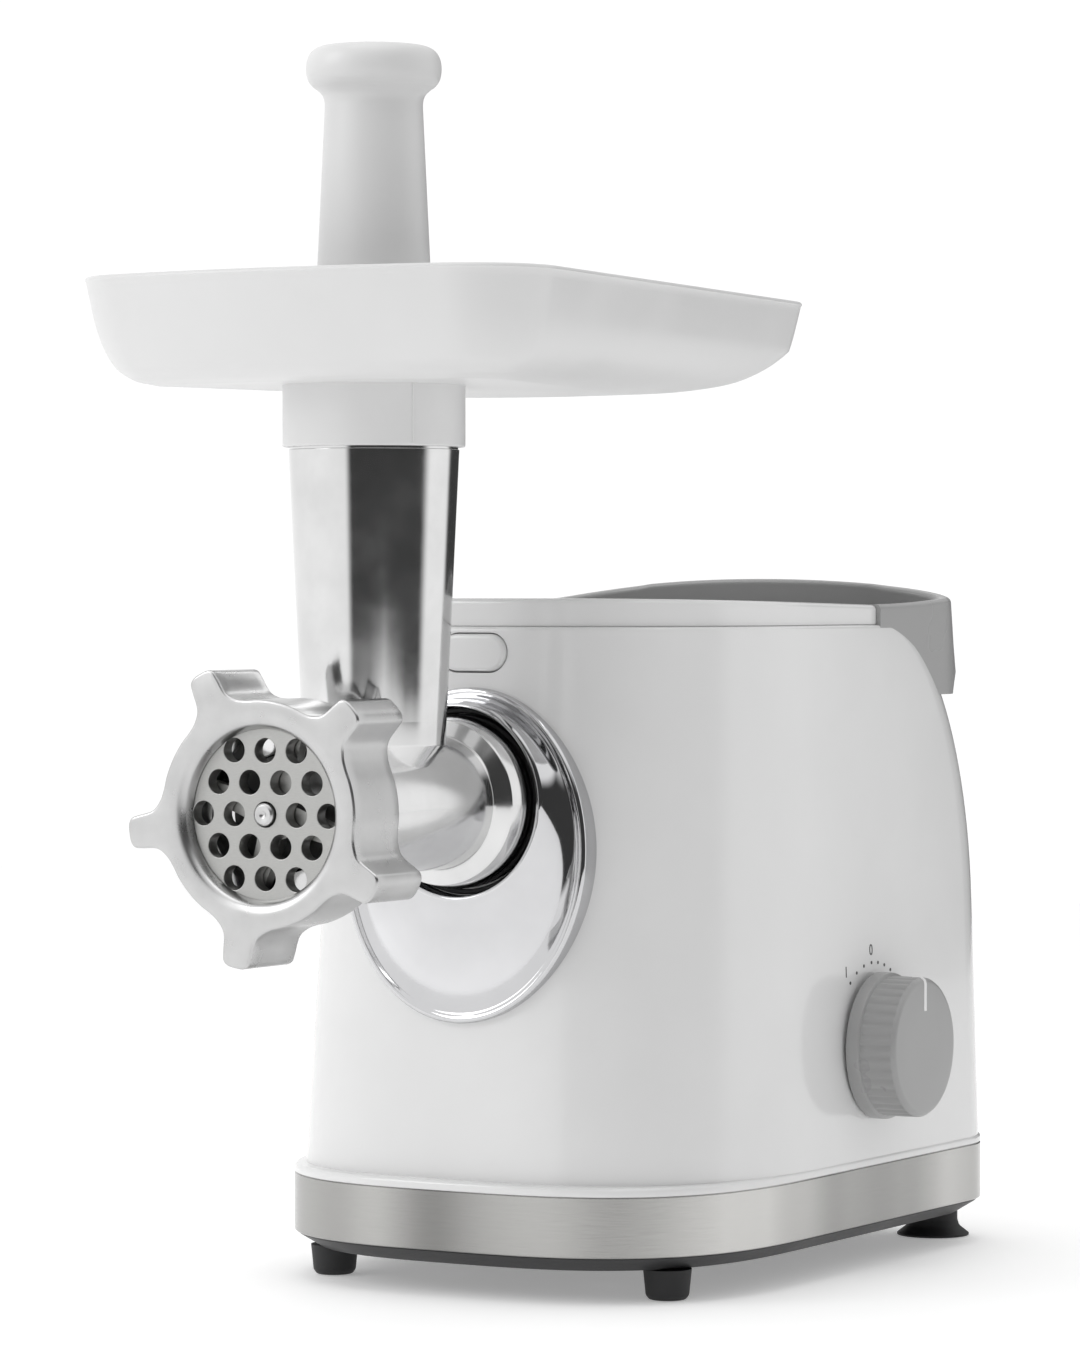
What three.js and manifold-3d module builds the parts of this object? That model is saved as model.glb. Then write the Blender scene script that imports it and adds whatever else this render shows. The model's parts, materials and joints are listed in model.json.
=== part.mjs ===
// Electric meat grinder: a white appliance body with a steel trim band, a bayonet head with its
// chute, food tray and pusher, and the gear train and motor inside.
// Millimetres, +Z up. The pieces are laid out with x = 0 on the centre plane, y = 0 on the line of
// the front feet (the front faces -y) and z = 0 on the table. The finished group is then moved so
// that its origin is the bottom centre of its bounding box.
import * as THREE from "three";
import { mergeVertices } from "three/addons/utils/BufferGeometryUtils.js";
import Module from "manifold-3d";

const wasm = await Module();
wasm.setup();

// ---------------------------------------------------------------- driving dimensions
const gap = 0.3; // clearance between pieces that touch
const roundSides = 24; // facets of a large round piece
const smallSides = 12; // facets of a small round piece
const full = 2 * Math.PI;

const headAxisZ = 170; // height of the auger's axis

const base = { bottom: 10.8, floor: 3, chamfer: 6.5, wall: 2.6 };
const band = { bottom: 16, top: 36.7, half: 92, front: -36.5, rear: 222, thickness: 1.2 };
const body = { top: 230, half: 91.7, front: -30, rear: 221, wall: 2.8 };
const taper = { side: 0.034, front: 0.074 }; // how far the walls lean in per millimetre of height
const nose = { depth: 100, power: 3 }; // the bowed front, a superellipse
const rearCorner = 32;
const shoulder = { low: 130, depth: 63 }; // the rear rolls forward to the top as an ellipse
const ledge = { height: 3, round: 1.4 }; // the lip of the body above the trim band
const coverSeam = 204; // y of the seam between the body shell and the rear cover

const cover = { inset: 1.8, frontTop: 239.9, rearTop: 237.2, end: 127, wall: 2.4 };
const handle = { wall: 5.5, floor: 2.6, low: 204, mid: 212, rearTop: 247, sideTop: 237.4, lean: 0.43 };

const feet = { x: 67.4, rearY: 207.6, radius: 8.4, cupRadius: 13.5, stemRadius: 9.2, cupDepth: 2.6 };

const flange = { halfWidth: 48.3, halfHeight: 57.8, centreZ: 151.3, proud: 2.6, wall: 2 };
const collar = { bore: 32.5, lip: 35, front: -30 };
const sleeve = { radius: 30, front: -38, frontRadius: 28.6, rear: -7.3, wall: 5 };
const sleeveBore = sleeve.radius - sleeve.wall;
const socket = { front: -13, wall: 5 };
const bayonet = { lugs: 3, width: 10, depth: 3.4, height: 2.6, turn: 30 };

const barrel = { radius: 22.8, bore: 19.6, rear: -41 };
const boss = { radius: 32, front: -142.7, rear: -128, chamber: 28, chamberDepth: 5.6 };
const chute = { y: -81.3, wall: 2.6, seatZ: 289.5, topZ: 303, lowRadius: 24.3, lowZ: 199, slope: 0.0475 };
const ring = { front: -153, rear: -125, radius: 37.4, mouth: 29.8, throat: 27.75, lugs: 5, lugTip: 50.7 };
const disc = { thickness: 5, radius: 31, hole: 4, pitch: 12 };
const knife = { thickness: 4.2, reach: 26.5, square: 8 };
const auger = { play: 0.7, core: 9, turns: 3.25, shaft: 8, stud: 3.7, studTip: -149.6 };
const augerRadius = barrel.bore - auger.play;
const coupling = { radius: 14, front: -29, rear: -12, hex: 8 };

const tray = { bottom: 311, rim: 347, wall: 2.4, front: -150, rear: 139, frontHalf: 88, rearHalf: 57 };
const cuff = { bottom: 290.4, radius: 30.6 };
const pusher = { bottom: 248, top: 424.2, capRadius: 22.7, capLow: 408, neck: 16.35, wall: 2.6 };

const knob = { y: 113, z: 79.5, depth: 19, radius: 25, skirt: 26.2, skirtDepth: 5, face: 24.2, spindle: 3 };
const button = { z: 221, width: 26, height: 13, proud: 1.5, rear: -7, travel: 4 };

const gearbox = { front: 7, depth: 41, left: -38, right: 67, low: 62, high: 208, wall: 3 };
const gearboxRear = gearbox.front + gearbox.depth;
const shaftRadius = 4;
const outputRadius = 6;
const stages = [
  { module: 1.5, pinion: 10, wheel: 36, back: 30, width: 7 },
  { module: 1.75, pinion: 10, wheel: 32, back: 20, width: 8 },
  { module: 2.1, pinion: 10, wheel: 30, back: 6, width: 11 },
];
const motor = { radius: 42, stackStart: 24, stack: 46, length: 107, bore: 25, rotor: 24.3, fan: 36 };
const stackFront = gearboxRear + motor.stackStart;
const stackRear = stackFront + motor.stack;
const motorRear = gearboxRear + motor.length;
const coilHead = 8; // how far the field coils stand out of the stack at each end

// ---------------------------------------------------------------- solids
function solid(geometry) {
  const bare = new THREE.BufferGeometry();
  const flat = geometry.index ? geometry.toNonIndexed() : geometry;
  bare.setAttribute("position", flat.getAttribute("position"));
  const merged = mergeVertices(bare, 1e-4);
  return new wasm.Manifold(
    new wasm.Mesh({
      numProp: 3,
      vertProperties: merged.getAttribute("position").array,
      triVerts: new Uint32Array(merged.index.array),
    }),
  );
}

function geometryOf(manifold) {
  const mesh = manifold.getMesh();
  const geometry = new THREE.BufferGeometry();
  geometry.setAttribute("position", new THREE.BufferAttribute(mesh.vertProperties, 3));
  geometry.setIndex(new THREE.BufferAttribute(mesh.triVerts, 1));
  return geometry;
}

function cut(geometry, ...tools) {
  return geometryOf(tools.reduce((rest, tool) => rest.subtract(solid(tool)), solid(geometry)));
}

function join(geometry, ...others) {
  return geometryOf(others.reduce((sum, other) => sum.add(solid(other)), solid(geometry)));
}

// A box given by its lowest and highest corners.
function box(low, high) {
  const size = high.map((value, axis) => value - low[axis]);
  const geometry = new THREE.BoxGeometry(...size);
  return geometry.translate(...low.map((value, axis) => value + size[axis] / 2));
}

// A closed solid of revolution about the local y axis, from a list of [radius, y] corners.
function revolve(profile, sides = roundSides) {
  let points = profile.map(([radius, y]) => new THREE.Vector2(radius, y));
  if (THREE.ShapeUtils.area(points) < 0) points.reverse();
  const onAxis = points.some((point) => point.x === 0);
  if (onAxis) {
    while (points[0].x !== 0 || points[points.length - 1].x !== 0) points.push(points.shift());
  } else {
    points = [...points, points[0].clone()];
  }
  return new THREE.LatheGeometry(points, sides);
}

// The same about a vertical axis, from [radius, z] corners, and about an axis along x.
const turnedUp = (profile, sides) => revolve(profile, sides).rotateX(Math.PI / 2);
const turnedAcross = (profile, sides) => revolve(profile, sides).rotateZ(-Math.PI / 2);

function tube(inner, outer, from, to, sides = roundSides) {
  return revolve([[inner, from], [outer, from], [outer, to], [inner, to]], sides);
}

function rod(radius, from, to, sides = smallSides) {
  return revolve([[0, from], [radius, from], [radius, to], [0, to]], sides);
}

// A closed solid through a stack of rings, each a list of as many points as the first. The rings
// run anticlockwise seen from the last one.
function loft(rings) {
  const count = rings[0].length;
  const corners = rings[0].map((_, k) => {
    const angle = (full * k) / count;
    return new THREE.Vector2(Math.cos(angle), Math.sin(angle));
  });
  const levels = rings.length - 1;
  const options = { steps: levels, depth: levels, bevelEnabled: false };
  const geometry = new THREE.ExtrudeGeometry(new THREE.Shape(corners), options);
  const at = geometry.getAttribute("position");
  for (let i = 0; i < at.count; i += 1) {
    const turn = Math.atan2(at.getY(i), at.getX(i)) / full;
    const k = (Math.round(turn * count) + count) % count;
    const point = rings[Math.round(at.getZ(i))][k];
    at.setXYZ(i, point.x, point.y, point.z);
  }
  return geometry;
}

// A plate cut from a 2-D shape, with its thickness along y: the shape's x is x, its y is z.
function plateAcross(shape, from, to, options = {}) {
  const geometry = new THREE.ExtrudeGeometry(shape, {
    depth: to - from,
    bevelEnabled: false,
    curveSegments: 6,
    ...options,
  });
  return geometry.rotateX(Math.PI / 2).translate(0, to, 0);
}

// A side-view polygon of [y, z] corners, extruded along x.
function profileAcross(corners, from, to) {
  const shape = new THREE.Shape(corners.map(([y, z]) => new THREE.Vector2(y, z)));
  const geometry = new THREE.ExtrudeGeometry(shape, { depth: to - from, bevelEnabled: false });
  return geometry.rotateX(Math.PI / 2).rotateZ(Math.PI / 2).translate(from, 0, 0);
}

function roundedRectangle(left, low, right, high, radius) {
  const shape = new THREE.Shape();
  shape.absarc(right - radius, low + radius, radius, -Math.PI / 2, 0);
  shape.absarc(right - radius, high - radius, radius, 0, Math.PI / 2);
  shape.absarc(left + radius, high - radius, radius, Math.PI / 2, Math.PI);
  shape.absarc(left + radius, low + radius, radius, Math.PI, 1.5 * Math.PI);
  return shape;
}

function circlePath(x, y, radius, sides = smallSides) {
  const points = [];
  for (let k = 0; k < sides; k += 1) {
    const angle = (full * k) / sides;
    points.push(new THREE.Vector2(x + radius * Math.cos(angle), y + radius * Math.sin(angle)));
  }
  return new THREE.Path(points);
}

// ---------------------------------------------------------------- the group and its materials
const finishes = {
  whitePlastic: { color: 0xe4e4e4, roughness: 0.25, metalness: 0 },
  softWhite: { color: 0xdedede, roughness: 0.45, metalness: 0 },
  greyPlastic: { color: 0xa0a0a0, roughness: 0.4, metalness: 0 },
  blackPlastic: { color: 0x1c1c1c, roughness: 0.5, metalness: 0 },
  rubber: { color: 0x161616, roughness: 0.8, metalness: 0 },
  brushedSteel: { color: 0xb4b4b0, roughness: 0.35, metalness: 1 },
  chrome: { color: 0xe0e0e0, roughness: 0.08, metalness: 1 },
  castAluminium: { color: 0xc8c8c8, roughness: 0.3, metalness: 1 },
  bladeSteel: { color: 0xb8b8b8, roughness: 0.25, metalness: 1 },
  gearNylon: { color: 0xe8e2cc, roughness: 0.5, metalness: 0 },
  copper: { color: 0xb0643a, roughness: 0.4, metalness: 1 },
  laminate: { color: 0x6d7276, roughness: 0.6, metalness: 0.6 },
  brass: { color: 0xb89a50, roughness: 0.35, metalness: 1 },
  boardGreen: { color: 0x2c6a45, roughness: 0.6, metalness: 0 },
};

const grinder = new THREE.Group();
const frameAt = (x, y, z) => {
  const group = new THREE.Group();
  group.position.set(x, y, z);
  grinder.add(group);
  return group;
};
const headFrame = frameAt(0, 0, headAxisZ);
const chuteFrame = frameAt(0, chute.y, 0);
const knobFrame = frameAt(0, knob.y, knob.z);

function add(name, geometry, finish, parent = grinder) {
  const mesh = new THREE.Mesh(geometry, new THREE.MeshStandardMaterial(finishes[finish]));
  mesh.name = name;
  mesh.geometry.computeVertexNormals();
  parent.add(mesh);
  return mesh;
}

// ---------------------------------------------------------------- plan outlines of the body
// Half the outline from the front centre round the right side to the rear centre, then mirrored.
function plan({ half, front, rear, corner = rearCorner }) {
  const right = [];
  const noseSteps = 6;
  for (let k = 0; k <= noseSteps; k += 1) {
    const angle = (Math.PI / 2) * (k / noseSteps);
    const reach = Math.sin(angle) ** (2 / nose.power);
    const back = 1 - Math.cos(angle) ** (2 / nose.power);
    right.push(new THREE.Vector2(half * reach, front + nose.depth * back));
  }
  const cornerSteps = 4;
  for (let k = 0; k <= cornerSteps; k += 1) {
    const angle = (Math.PI / 2) * (k / cornerSteps);
    const x = half - corner * (1 - Math.cos(angle));
    right.push(new THREE.Vector2(x, rear - corner * (1 - Math.sin(angle))));
  }
  const left = right.slice(1).reverse().map((point) => new THREE.Vector2(-point.x, point.y));
  return [...right, ...left];
}

const planRing = (z, size) => plan(size).map((point) => new THREE.Vector3(point.x, point.y, z));

const inset = (size, by) => ({
  half: size.half - by,
  front: size.front + by,
  rear: size.rear - by,
});

// The wall's plan at a height, before the rear shoulder is taken into account.
function wallAt(z, by = 0) {
  const rise = z - band.top;
  return inset(
    { half: body.half - taper.side * rise, front: body.front + taper.front * rise, rear: body.rear },
    by,
  );
}

// The whole body's solid, moved inwards by a distance all round. A negative distance grows it.
function bodySolid(by, bottom) {
  const rings = [planRing(bottom, wallAt(bottom, by))];
  const steps = 6;
  const rise = body.top - shoulder.low - by;
  const shoulderY = body.rear - shoulder.depth;
  for (let k = 0; k <= steps; k += 1) {
    const angle = (Math.PI / 2) * (k / steps);
    const z = shoulder.low + rise * Math.sin(angle);
    const size = wallAt(z, by);
    size.rear = shoulderY + (shoulder.depth - by) * Math.cos(angle);
    rings.push(planRing(z, size));
  }
  return loft(rings);
}

// ---------------------------------------------------------------- base, band and feet
const bandPlan = { half: band.half, front: band.front, rear: band.rear };
const screwSpots = [
  [-32, 20],
  [32, 20],
  [-50, 190],
  [50, 190],
];

function basePlate() {
  const wallInset = band.thickness + gap;
  const lower = loft([
    planRing(base.bottom, inset(bandPlan, base.chamfer)),
    planRing(band.bottom - gap, inset(bandPlan, 0.6)),
  ]);
  const upper = loft([
    planRing(band.bottom - 2 * gap, inset(bandPlan, wallInset)),
    planRing(band.top, inset(bandPlan, wallInset)),
  ]);
  const floorTop = base.bottom + base.floor;
  const hollow = loft([
    planRing(floorTop, inset(bandPlan, wallInset + base.wall + 1.5)),
    planRing(band.top + 1, inset(bandPlan, wallInset + base.wall)),
  ]);
  const bosses = screwSpots.map(([x, y]) =>
    turnedUp([[0, base.bottom - 2.4], [6, base.bottom - 2.4], [6, 26], [0, 26]], 8).translate(x, y, 0),
  );
  const wells = screwSpots.map(([x, y]) =>
    turnedUp(
      [[0, base.bottom - 3], [4.2, base.bottom - 3], [4.2, 13], [1.9, 13], [1.9, 22], [0, 22]],
      8,
    ).translate(x, y, 0),
  );
  const vents = [-1, 0, 1].map((k) => box([16 * k - 2.5, 165, 5], [16 * k + 2.5, 205, 20]));
  const shell = cut(join(lower, upper), hollow, ...vents);
  return cut(join(shell, ...bosses), ...wells);
}
add("base_plate", basePlate(), "blackPlastic");

const trimBand = cut(
  loft([planRing(band.bottom, bandPlan), planRing(band.top, bandPlan)]),
  loft([
    planRing(band.bottom - 1, inset(bandPlan, band.thickness)),
    planRing(band.top + 1, inset(bandPlan, band.thickness)),
  ]),
);
add("trim_band", trimBand, "brushedSteel");

screwSpots.forEach(([x, y], k) => {
  const screw = turnedUp([[0, 9.6], [3.8, 9.6], [3.8, 12.7], [1.6, 12.7], [1.6, 21], [0, 21]], 8);
  add("base_screw_" + (k + 1), screw.translate(x, y, 0), "bladeSteel");
});

const footTop = base.bottom - gap;
const frontFoot = [
  [0, 0],
  [feet.radius - 2.2, 0],
  [feet.radius - 1, 1.2],
  [feet.radius, footTop],
  [0, footTop],
];
const cupFoot = [
  [0, feet.cupDepth],
  [5, feet.cupDepth],
  [feet.cupRadius - 1.6, 0],
  [feet.cupRadius, 0],
  [feet.cupRadius, 0.8],
  [feet.stemRadius + 0.6, 4.2],
  [feet.stemRadius, 6],
  [feet.stemRadius, footTop],
  [0, footTop],
];
for (const [side, x] of [["left", -feet.x], ["right", feet.x]]) {
  add("front_foot_" + side, turnedUp(frontFoot, 16), "rubber").position.set(x, 0, 0);
  add("suction_foot_" + side, turnedUp(cupFoot, 18), "rubber").position.set(x, feet.rearY, 0);
}

// ---------------------------------------------------------------- body shell, rear and top covers
function openingRings() {
  const size = wallAt(body.top, body.wall);
  size.rear = body.rear - shoulder.depth - 12;
  return loft([planRing(body.top - 12, size), planRing(body.top + 5, size)]);
}

function bodyWalls() {
  const lipLow = band.top + gap;
  const lip = loft([
    planRing(lipLow, bandPlan),
    planRing(lipLow + ledge.height - ledge.round, bandPlan),
    planRing(lipLow + ledge.height, inset(bandPlan, ledge.round)),
  ]);
  const outer = join(bodySolid(0, lipLow), lip);
  return cut(outer, bodySolid(body.wall, lipLow - 1), openingRings());
}

const far = 600; // reaches past the whole object
const walls = bodyWalls();

function ovalShape(width, height) {
  const shape = new THREE.Shape();
  const reach = width / 2 - height / 2;
  shape.absarc(reach, 0, height / 2, -Math.PI / 2, Math.PI / 2);
  shape.absarc(-reach, 0, height / 2, Math.PI / 2, 1.5 * Math.PI);
  return shape;
}

const buttonHole = plateAcross(ovalShape(button.width + 2 * gap, button.height + 2 * gap), -40, 0);
buttonHole.translate(0, 0, button.z);
const headHole = rod(collar.bore + 2.2, -60, 10, roundSides).translate(0, 0, headAxisZ);
const knobHole = turnedAcross([[0, 60], [5, 60], [5, 120], [0, 120]], smallSides);
knobHole.translate(0, knob.y, knob.z);
add(
  "body_shell",
  cut(walls, box([-far, coverSeam, -far], [far, far, far]), buttonHole, headHole, knobHole),
  "whitePlastic",
);

const inlet = { x: 46, z: 62, radius: 6 };
const rearVents = [0, 1, 2, 3, 4, 5].map((k) => box([-34, 190, 112 + 8 * k], [34, 240, 115.5 + 8 * k]));
const inletHole = rod(inlet.radius, 190, 240).translate(inlet.x, 0, inlet.z);
add(
  "rear_cover",
  cut(walls, box([-far, -far, -far], [far, coverSeam + gap, far]), inletHole, ...rearVents),
  "whitePlastic",
);

function topCover() {
  const size = wallAt(body.top, cover.inset);
  size.rear = cover.end + 60;
  const low = body.top + gap;
  const high = cover.frontTop;
  const inner = inset(size, cover.wall);
  const outer = loft([planRing(low, size), planRing(high - 1.2, size), planRing(high, inset(size, 1.2))]);
  const hollow = loft([planRing(low - 1, inner), planRing(cover.rearTop - cover.wall, inner)]);
  const fall = [
    [-far, cover.frontTop],
    [wallAt(body.top).front, cover.frontTop],
    [cover.end, cover.rearTop],
    [cover.end, low - 5],
    [far, low - 5],
    [far, far],
    [-far, far],
  ];
  const above = profileAcross(fall, -far, far);
  return cut(outer, hollow, above);
}
add("top_cover", topCover(), "whitePlastic");

// ---------------------------------------------------------------- carry handle
// A grey hoop round the rear of the top, with an open well in front of its grip.
function handleLoft(by) {
  const half = wallAt(body.top).half - by;
  const rearMid = body.rear - 8;
  const levels = [
    [handle.low, rearMid - 6],
    [handle.mid, rearMid],
    [handle.rearTop + 6, rearMid - handle.lean * (handle.rearTop + 6 - handle.mid)],
  ];
  return loft(levels.map(([z, rear]) => planRing(z, { half, front: 0, rear: rear - by, corner: 30 })));
}

function carryHandle() {
  const start = cover.end + gap;
  const topRear = body.rear - 22;
  const rim = [];
  for (let k = 0; k <= 6; k += 1) {
    const share = k / 6;
    const rise = (handle.rearTop - handle.sideTop) * share ** 2;
    rim.push([start + (topRear - start) * share, handle.sideTop + rise]);
  }
  const beyond = [[far, handle.rearTop], [far, far], [start - 5, far], [start - 5, handle.sideTop]];
  const corners = [...rim, ...beyond];
  const above = profileAcross(corners, -far, far);
  const ahead = box([-far, -far, -far], [far, start, far]);
  const wellWall = box([-far, -far, -far], [far, start + handle.floor, far]);
  const well = cut(handleLoft(handle.wall), bodySolid(-gap - handle.floor, 100), wellWall);
  return cut(handleLoft(0), bodySolid(-gap, 100), ahead, above, well);
}
add("carry_handle", carryHandle(), "greyPlastic");

// ---------------------------------------------------------------- flange, seal and bayonet socket
const wallFront = (z) => wallAt(z).front;

// The flange is a shallow bell from an oval rim, which follows the leaning wall, to a round collar.
function flangeLoft(by) {
  const count = roundSides;
  const ringAt = (share, rimInset, push) => {
    const points = [];
    for (let k = 0; k < count; k += 1) {
      const angle = (full * k) / count;
      const ovalX = (flange.halfWidth - rimInset - by) * Math.cos(angle);
      const ovalZ = flange.centreZ + (flange.halfHeight - rimInset - by) * Math.sin(angle);
      const lipX = (collar.lip - by) * Math.cos(angle);
      const lipZ = headAxisZ + (collar.lip - by) * Math.sin(angle);
      const x = ovalX + (lipX - ovalX) * share;
      const z = ovalZ + (lipZ - ovalZ) * share;
      const rimY = wallFront(z) - flange.proud + push;
      points.push(new THREE.Vector3(x, rimY + (collar.front - rimY) * share ** 2 + by, z));
    }
    return points;
  };
  const bell = [0.3, 0.65, 1].map((share) => ringAt(share, 1.2, 0));
  return loft([ringAt(0, 0, 12), ringAt(0, 0, 1), ringAt(0, 1.2, 0), ...bell]);
}

function chromeFlange() {
  const hole = rod(collar.bore, -60, 10, roundSides).translate(0, 0, headAxisZ);
  const bell = cut(flangeLoft(0), flangeLoft(flange.wall), bodySolid(-gap, 50), hole);
  const collarTube = tube(collar.bore, collar.bore + 1.8, collar.front + 0.6, -17);
  return join(bell, collarTube.translate(0, 0, headAxisZ));
}
add("chrome_flange", chromeFlange(), "chrome");
add("collar_seal", tube(sleeve.radius + gap, collar.bore - gap, -24, -17), "rubber", headFrame);

// A block on the head's circle: its middle at an angle from +x towards +z, reaching between two radii.
function blockAt(angle, inner, outer, width, from, to) {
  return box([inner, from, -width / 2], [outer, to, width / 2]).rotateY(-angle);
}

const lugAngles = [];
for (let k = 0; k < bayonet.lugs; k += 1) lugAngles.push(-Math.PI / 2 + (full * k) / bayonet.lugs);
const lugFront = sleeve.rear - bayonet.depth;
const lugRadius = sleeve.radius + bayonet.height;
const latch = { half: 4.8, depth: 3, low: 23, noseLow: 25.6, noseHigh: 29.6 };

function bayonetSocket() {
  const inner = sleeve.radius + gap;
  const grooveOuter = lugRadius + 1.2;
  const groove = tube(inner - 1, grooveOuter, lugFront - gap, lugFront + bayonet.depth + gap);
  const entries = lugAngles.map((angle) =>
    blockAt(
      angle + (bayonet.turn * Math.PI) / 180,
      sleeveBore,
      grooveOuter,
      bayonet.width + 2,
      socket.front - 1,
      lugFront + 1,
    ),
  );
  const latchSlot = box([-latch.half - 0.7, button.rear - 0.6, 10], [latch.half + 0.7, far, 60]);
  const wall = tube(inner, inner + socket.wall, socket.front, gearbox.front - gap);
  return cut(wall, groove, latchSlot, ...entries);
}
add("bayonet_socket", bayonetSocket(), "blackPlastic", headFrame);

// ---------------------------------------------------------------- release button and its spring
const buttonFront = wallFront(button.z) - button.proud;
const latchRear = button.rear + latch.depth;
const buttonCap = plateAcross(ovalShape(button.width, button.height), buttonFront, button.rear - gap);
add("release_button", buttonCap, "whitePlastic").position.set(0, 0, button.z);
const latchBar = box(
  [-latch.half, button.rear, headAxisZ + latch.low],
  [latch.half, latchRear, button.z + 5],
);
const latchNose = box(
  [-latch.half, button.rear - latch.depth, headAxisZ + latch.noseLow],
  [latch.half, latchRear - 1, headAxisZ + latch.noseHigh],
);
add("latch_bar", join(latchBar, latchNose), "blackPlastic");

class Helix extends THREE.Curve {
  constructor(radius, from, to, turns) {
    super();
    Object.assign(this, { radius, from, to, turns });
  }
  getPoint(share) {
    const angle = full * this.turns * share;
    const y = this.from + (this.to - this.from) * share;
    return new THREE.Vector3(this.radius * Math.cos(angle), y, this.radius * Math.sin(angle));
  }
}

const bracketY = gearbox.front + 8;
function buttonSpring() {
  const wire = 0.5;
  const path = new Helix(3.6, latchRear + gap + wire, bracketY - gap - wire, 4);
  const section = new THREE.Shape(circlePath(0, 0, wire, 5).getPoints());
  return new THREE.ExtrudeGeometry(section, { steps: 28, extrudePath: path, bevelEnabled: false });
}
add("button_spring", buttonSpring(), "bladeSteel").position.set(0, 0, button.z);
const springTab = box([-10, bracketY, gearbox.high - 2], [10, bracketY + 2.4, button.z + 6]);

// ---------------------------------------------------------------- grinder head
const chuteRadius = (z) => chute.lowRadius + chute.slope * (z - chute.lowZ);
const chuteBore = (z) => chuteRadius(z) - chute.wall;
const seatRadius = chuteRadius(chute.seatZ) - 0.4;

function grinderHead() {
  const casting = revolve([
    [0, boss.front],
    [boss.radius, boss.front],
    [boss.radius, boss.rear + 1],
    [barrel.radius + 0.6, boss.rear + 4],
    [barrel.radius, boss.rear + 7],
    [barrel.radius, barrel.rear],
    [sleeve.frontRadius, sleeve.front],
    [sleeve.radius, sleeve.front + 7],
    [sleeve.radius, sleeve.rear],
    [0, sleeve.rear],
  ], roundSides);
  const chamberRear = boss.front + boss.chamberDepth;
  const bores = revolve([
    [0, boss.front - 1],
    [boss.chamber, boss.front - 1],
    [boss.chamber, chamberRear],
    [barrel.bore, chamberRear + 1],
    [barrel.bore, barrel.rear + 2],
    [auger.shaft + gap, barrel.rear + 2],
    [auger.shaft + gap, sleeve.front + 6],
    [sleeveBore, sleeve.front + 6],
    [sleeveBore, sleeve.rear + 1],
    [0, sleeve.rear + 1],
  ], roundSides);
  const low = headAxisZ + 4;
  const outer = turnedUp([
    [0, low],
    [chuteRadius(low), low],
    [chuteRadius(chute.seatZ), chute.seatZ],
    [seatRadius, chute.seatZ],
    [seatRadius, chute.topZ],
    [0, chute.topZ],
  ], roundSides);
  const inner = turnedUp([
    [0, headAxisZ],
    [chuteBore(headAxisZ), headAxisZ],
    [chuteBore(chute.topZ) - 0.3, chute.topZ + 1],
    [0, chute.topZ + 1],
  ], roundSides);
  const inHead = (geometry) => geometry.translate(0, chute.y, -headAxisZ);
  const lugs = lugAngles.map((angle) =>
    blockAt(angle, sleeve.radius - 2, lugRadius, bayonet.width, lugFront, lugFront + bayonet.depth),
  );
  // The latch's notch is open on the side that the head turns towards.
  const notchSteps = [0, 1, 2, 3];
  const notches = notchSteps.map((step) =>
    blockAt(
      Math.PI / 2 - (step / 3) * ((bayonet.turn * Math.PI) / 180),
      latch.noseLow - 2,
      sleeve.radius + 4,
      2 * (latch.half + 0.5),
      sleeve.rear - latch.depth,
      sleeve.rear + 1,
    ),
  );
  return cut(join(casting, inHead(outer), ...lugs), bores, inHead(inner), ...notches);
}
add("grinder_head", grinderHead(), "castAluminium", headFrame);

// ---------------------------------------------------------------- ring nut, disc, knife and auger
function ringNut() {
  const shape = new THREE.Shape();
  const lugHalf = 0.17; // half the angle that a lug's base takes
  const tipHalf = 0.115;
  const first = (116 * Math.PI) / 180;
  for (let lug = 0; lug < ring.lugs; lug += 1) {
    const middle = first + (full * lug) / ring.lugs;
    const next = middle + full / ring.lugs;
    const tip = ring.lugTip;
    const reach = [
      [ring.radius + 0.5, -lugHalf - 0.1],
      [ring.radius + 3, -lugHalf],
      [tip - 2.5, -tipHalf],
      [tip - 0.6, -tipHalf * 0.75],
      [tip, 0],
      [tip - 0.6, tipHalf * 0.75],
      [tip - 2.5, tipHalf],
      [ring.radius + 3, lugHalf],
      [ring.radius + 0.5, lugHalf + 0.1],
    ];
    for (const [radius, turn] of reach) {
      const x = radius * Math.cos(middle + turn);
      const z = radius * Math.sin(middle + turn);
      if (lug === 0 && turn === -lugHalf - 0.1) shape.moveTo(x, z);
      else shape.lineTo(x, z);
    }
    const arcFrom = middle + lugHalf + 0.16;
    const arcTo = next - lugHalf - 0.16;
    for (let k = 0; k <= 4; k += 1) {
      const angle = arcFrom + ((arcTo - arcFrom) * k) / 4;
      shape.lineTo(ring.radius * Math.cos(angle), ring.radius * Math.sin(angle));
    }
  }
  const edge = 1.6;
  const body = plateAcross(shape, ring.front + edge, ring.rear - edge, {
    bevelEnabled: true,
    bevelSegments: 1,
    bevelThickness: edge,
    bevelSize: edge,
    bevelOffset: -edge,
  });
  const discFront = boss.front - gap - disc.thickness;
  const bore = revolve([
    [0, ring.front - 1],
    [ring.mouth + 0.4, ring.front - 1],
    [ring.throat, discFront - gap],
    [disc.radius + gap, discFront - gap],
    [disc.radius + gap, boss.front - gap],
    [boss.radius + gap, boss.front - gap],
    [boss.radius + gap, ring.rear + 1],
    [0, ring.rear + 1],
  ], roundSides);
  return cut(body, bore);
}
add("ring_nut", ringNut(), "castAluminium", headFrame);

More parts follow.
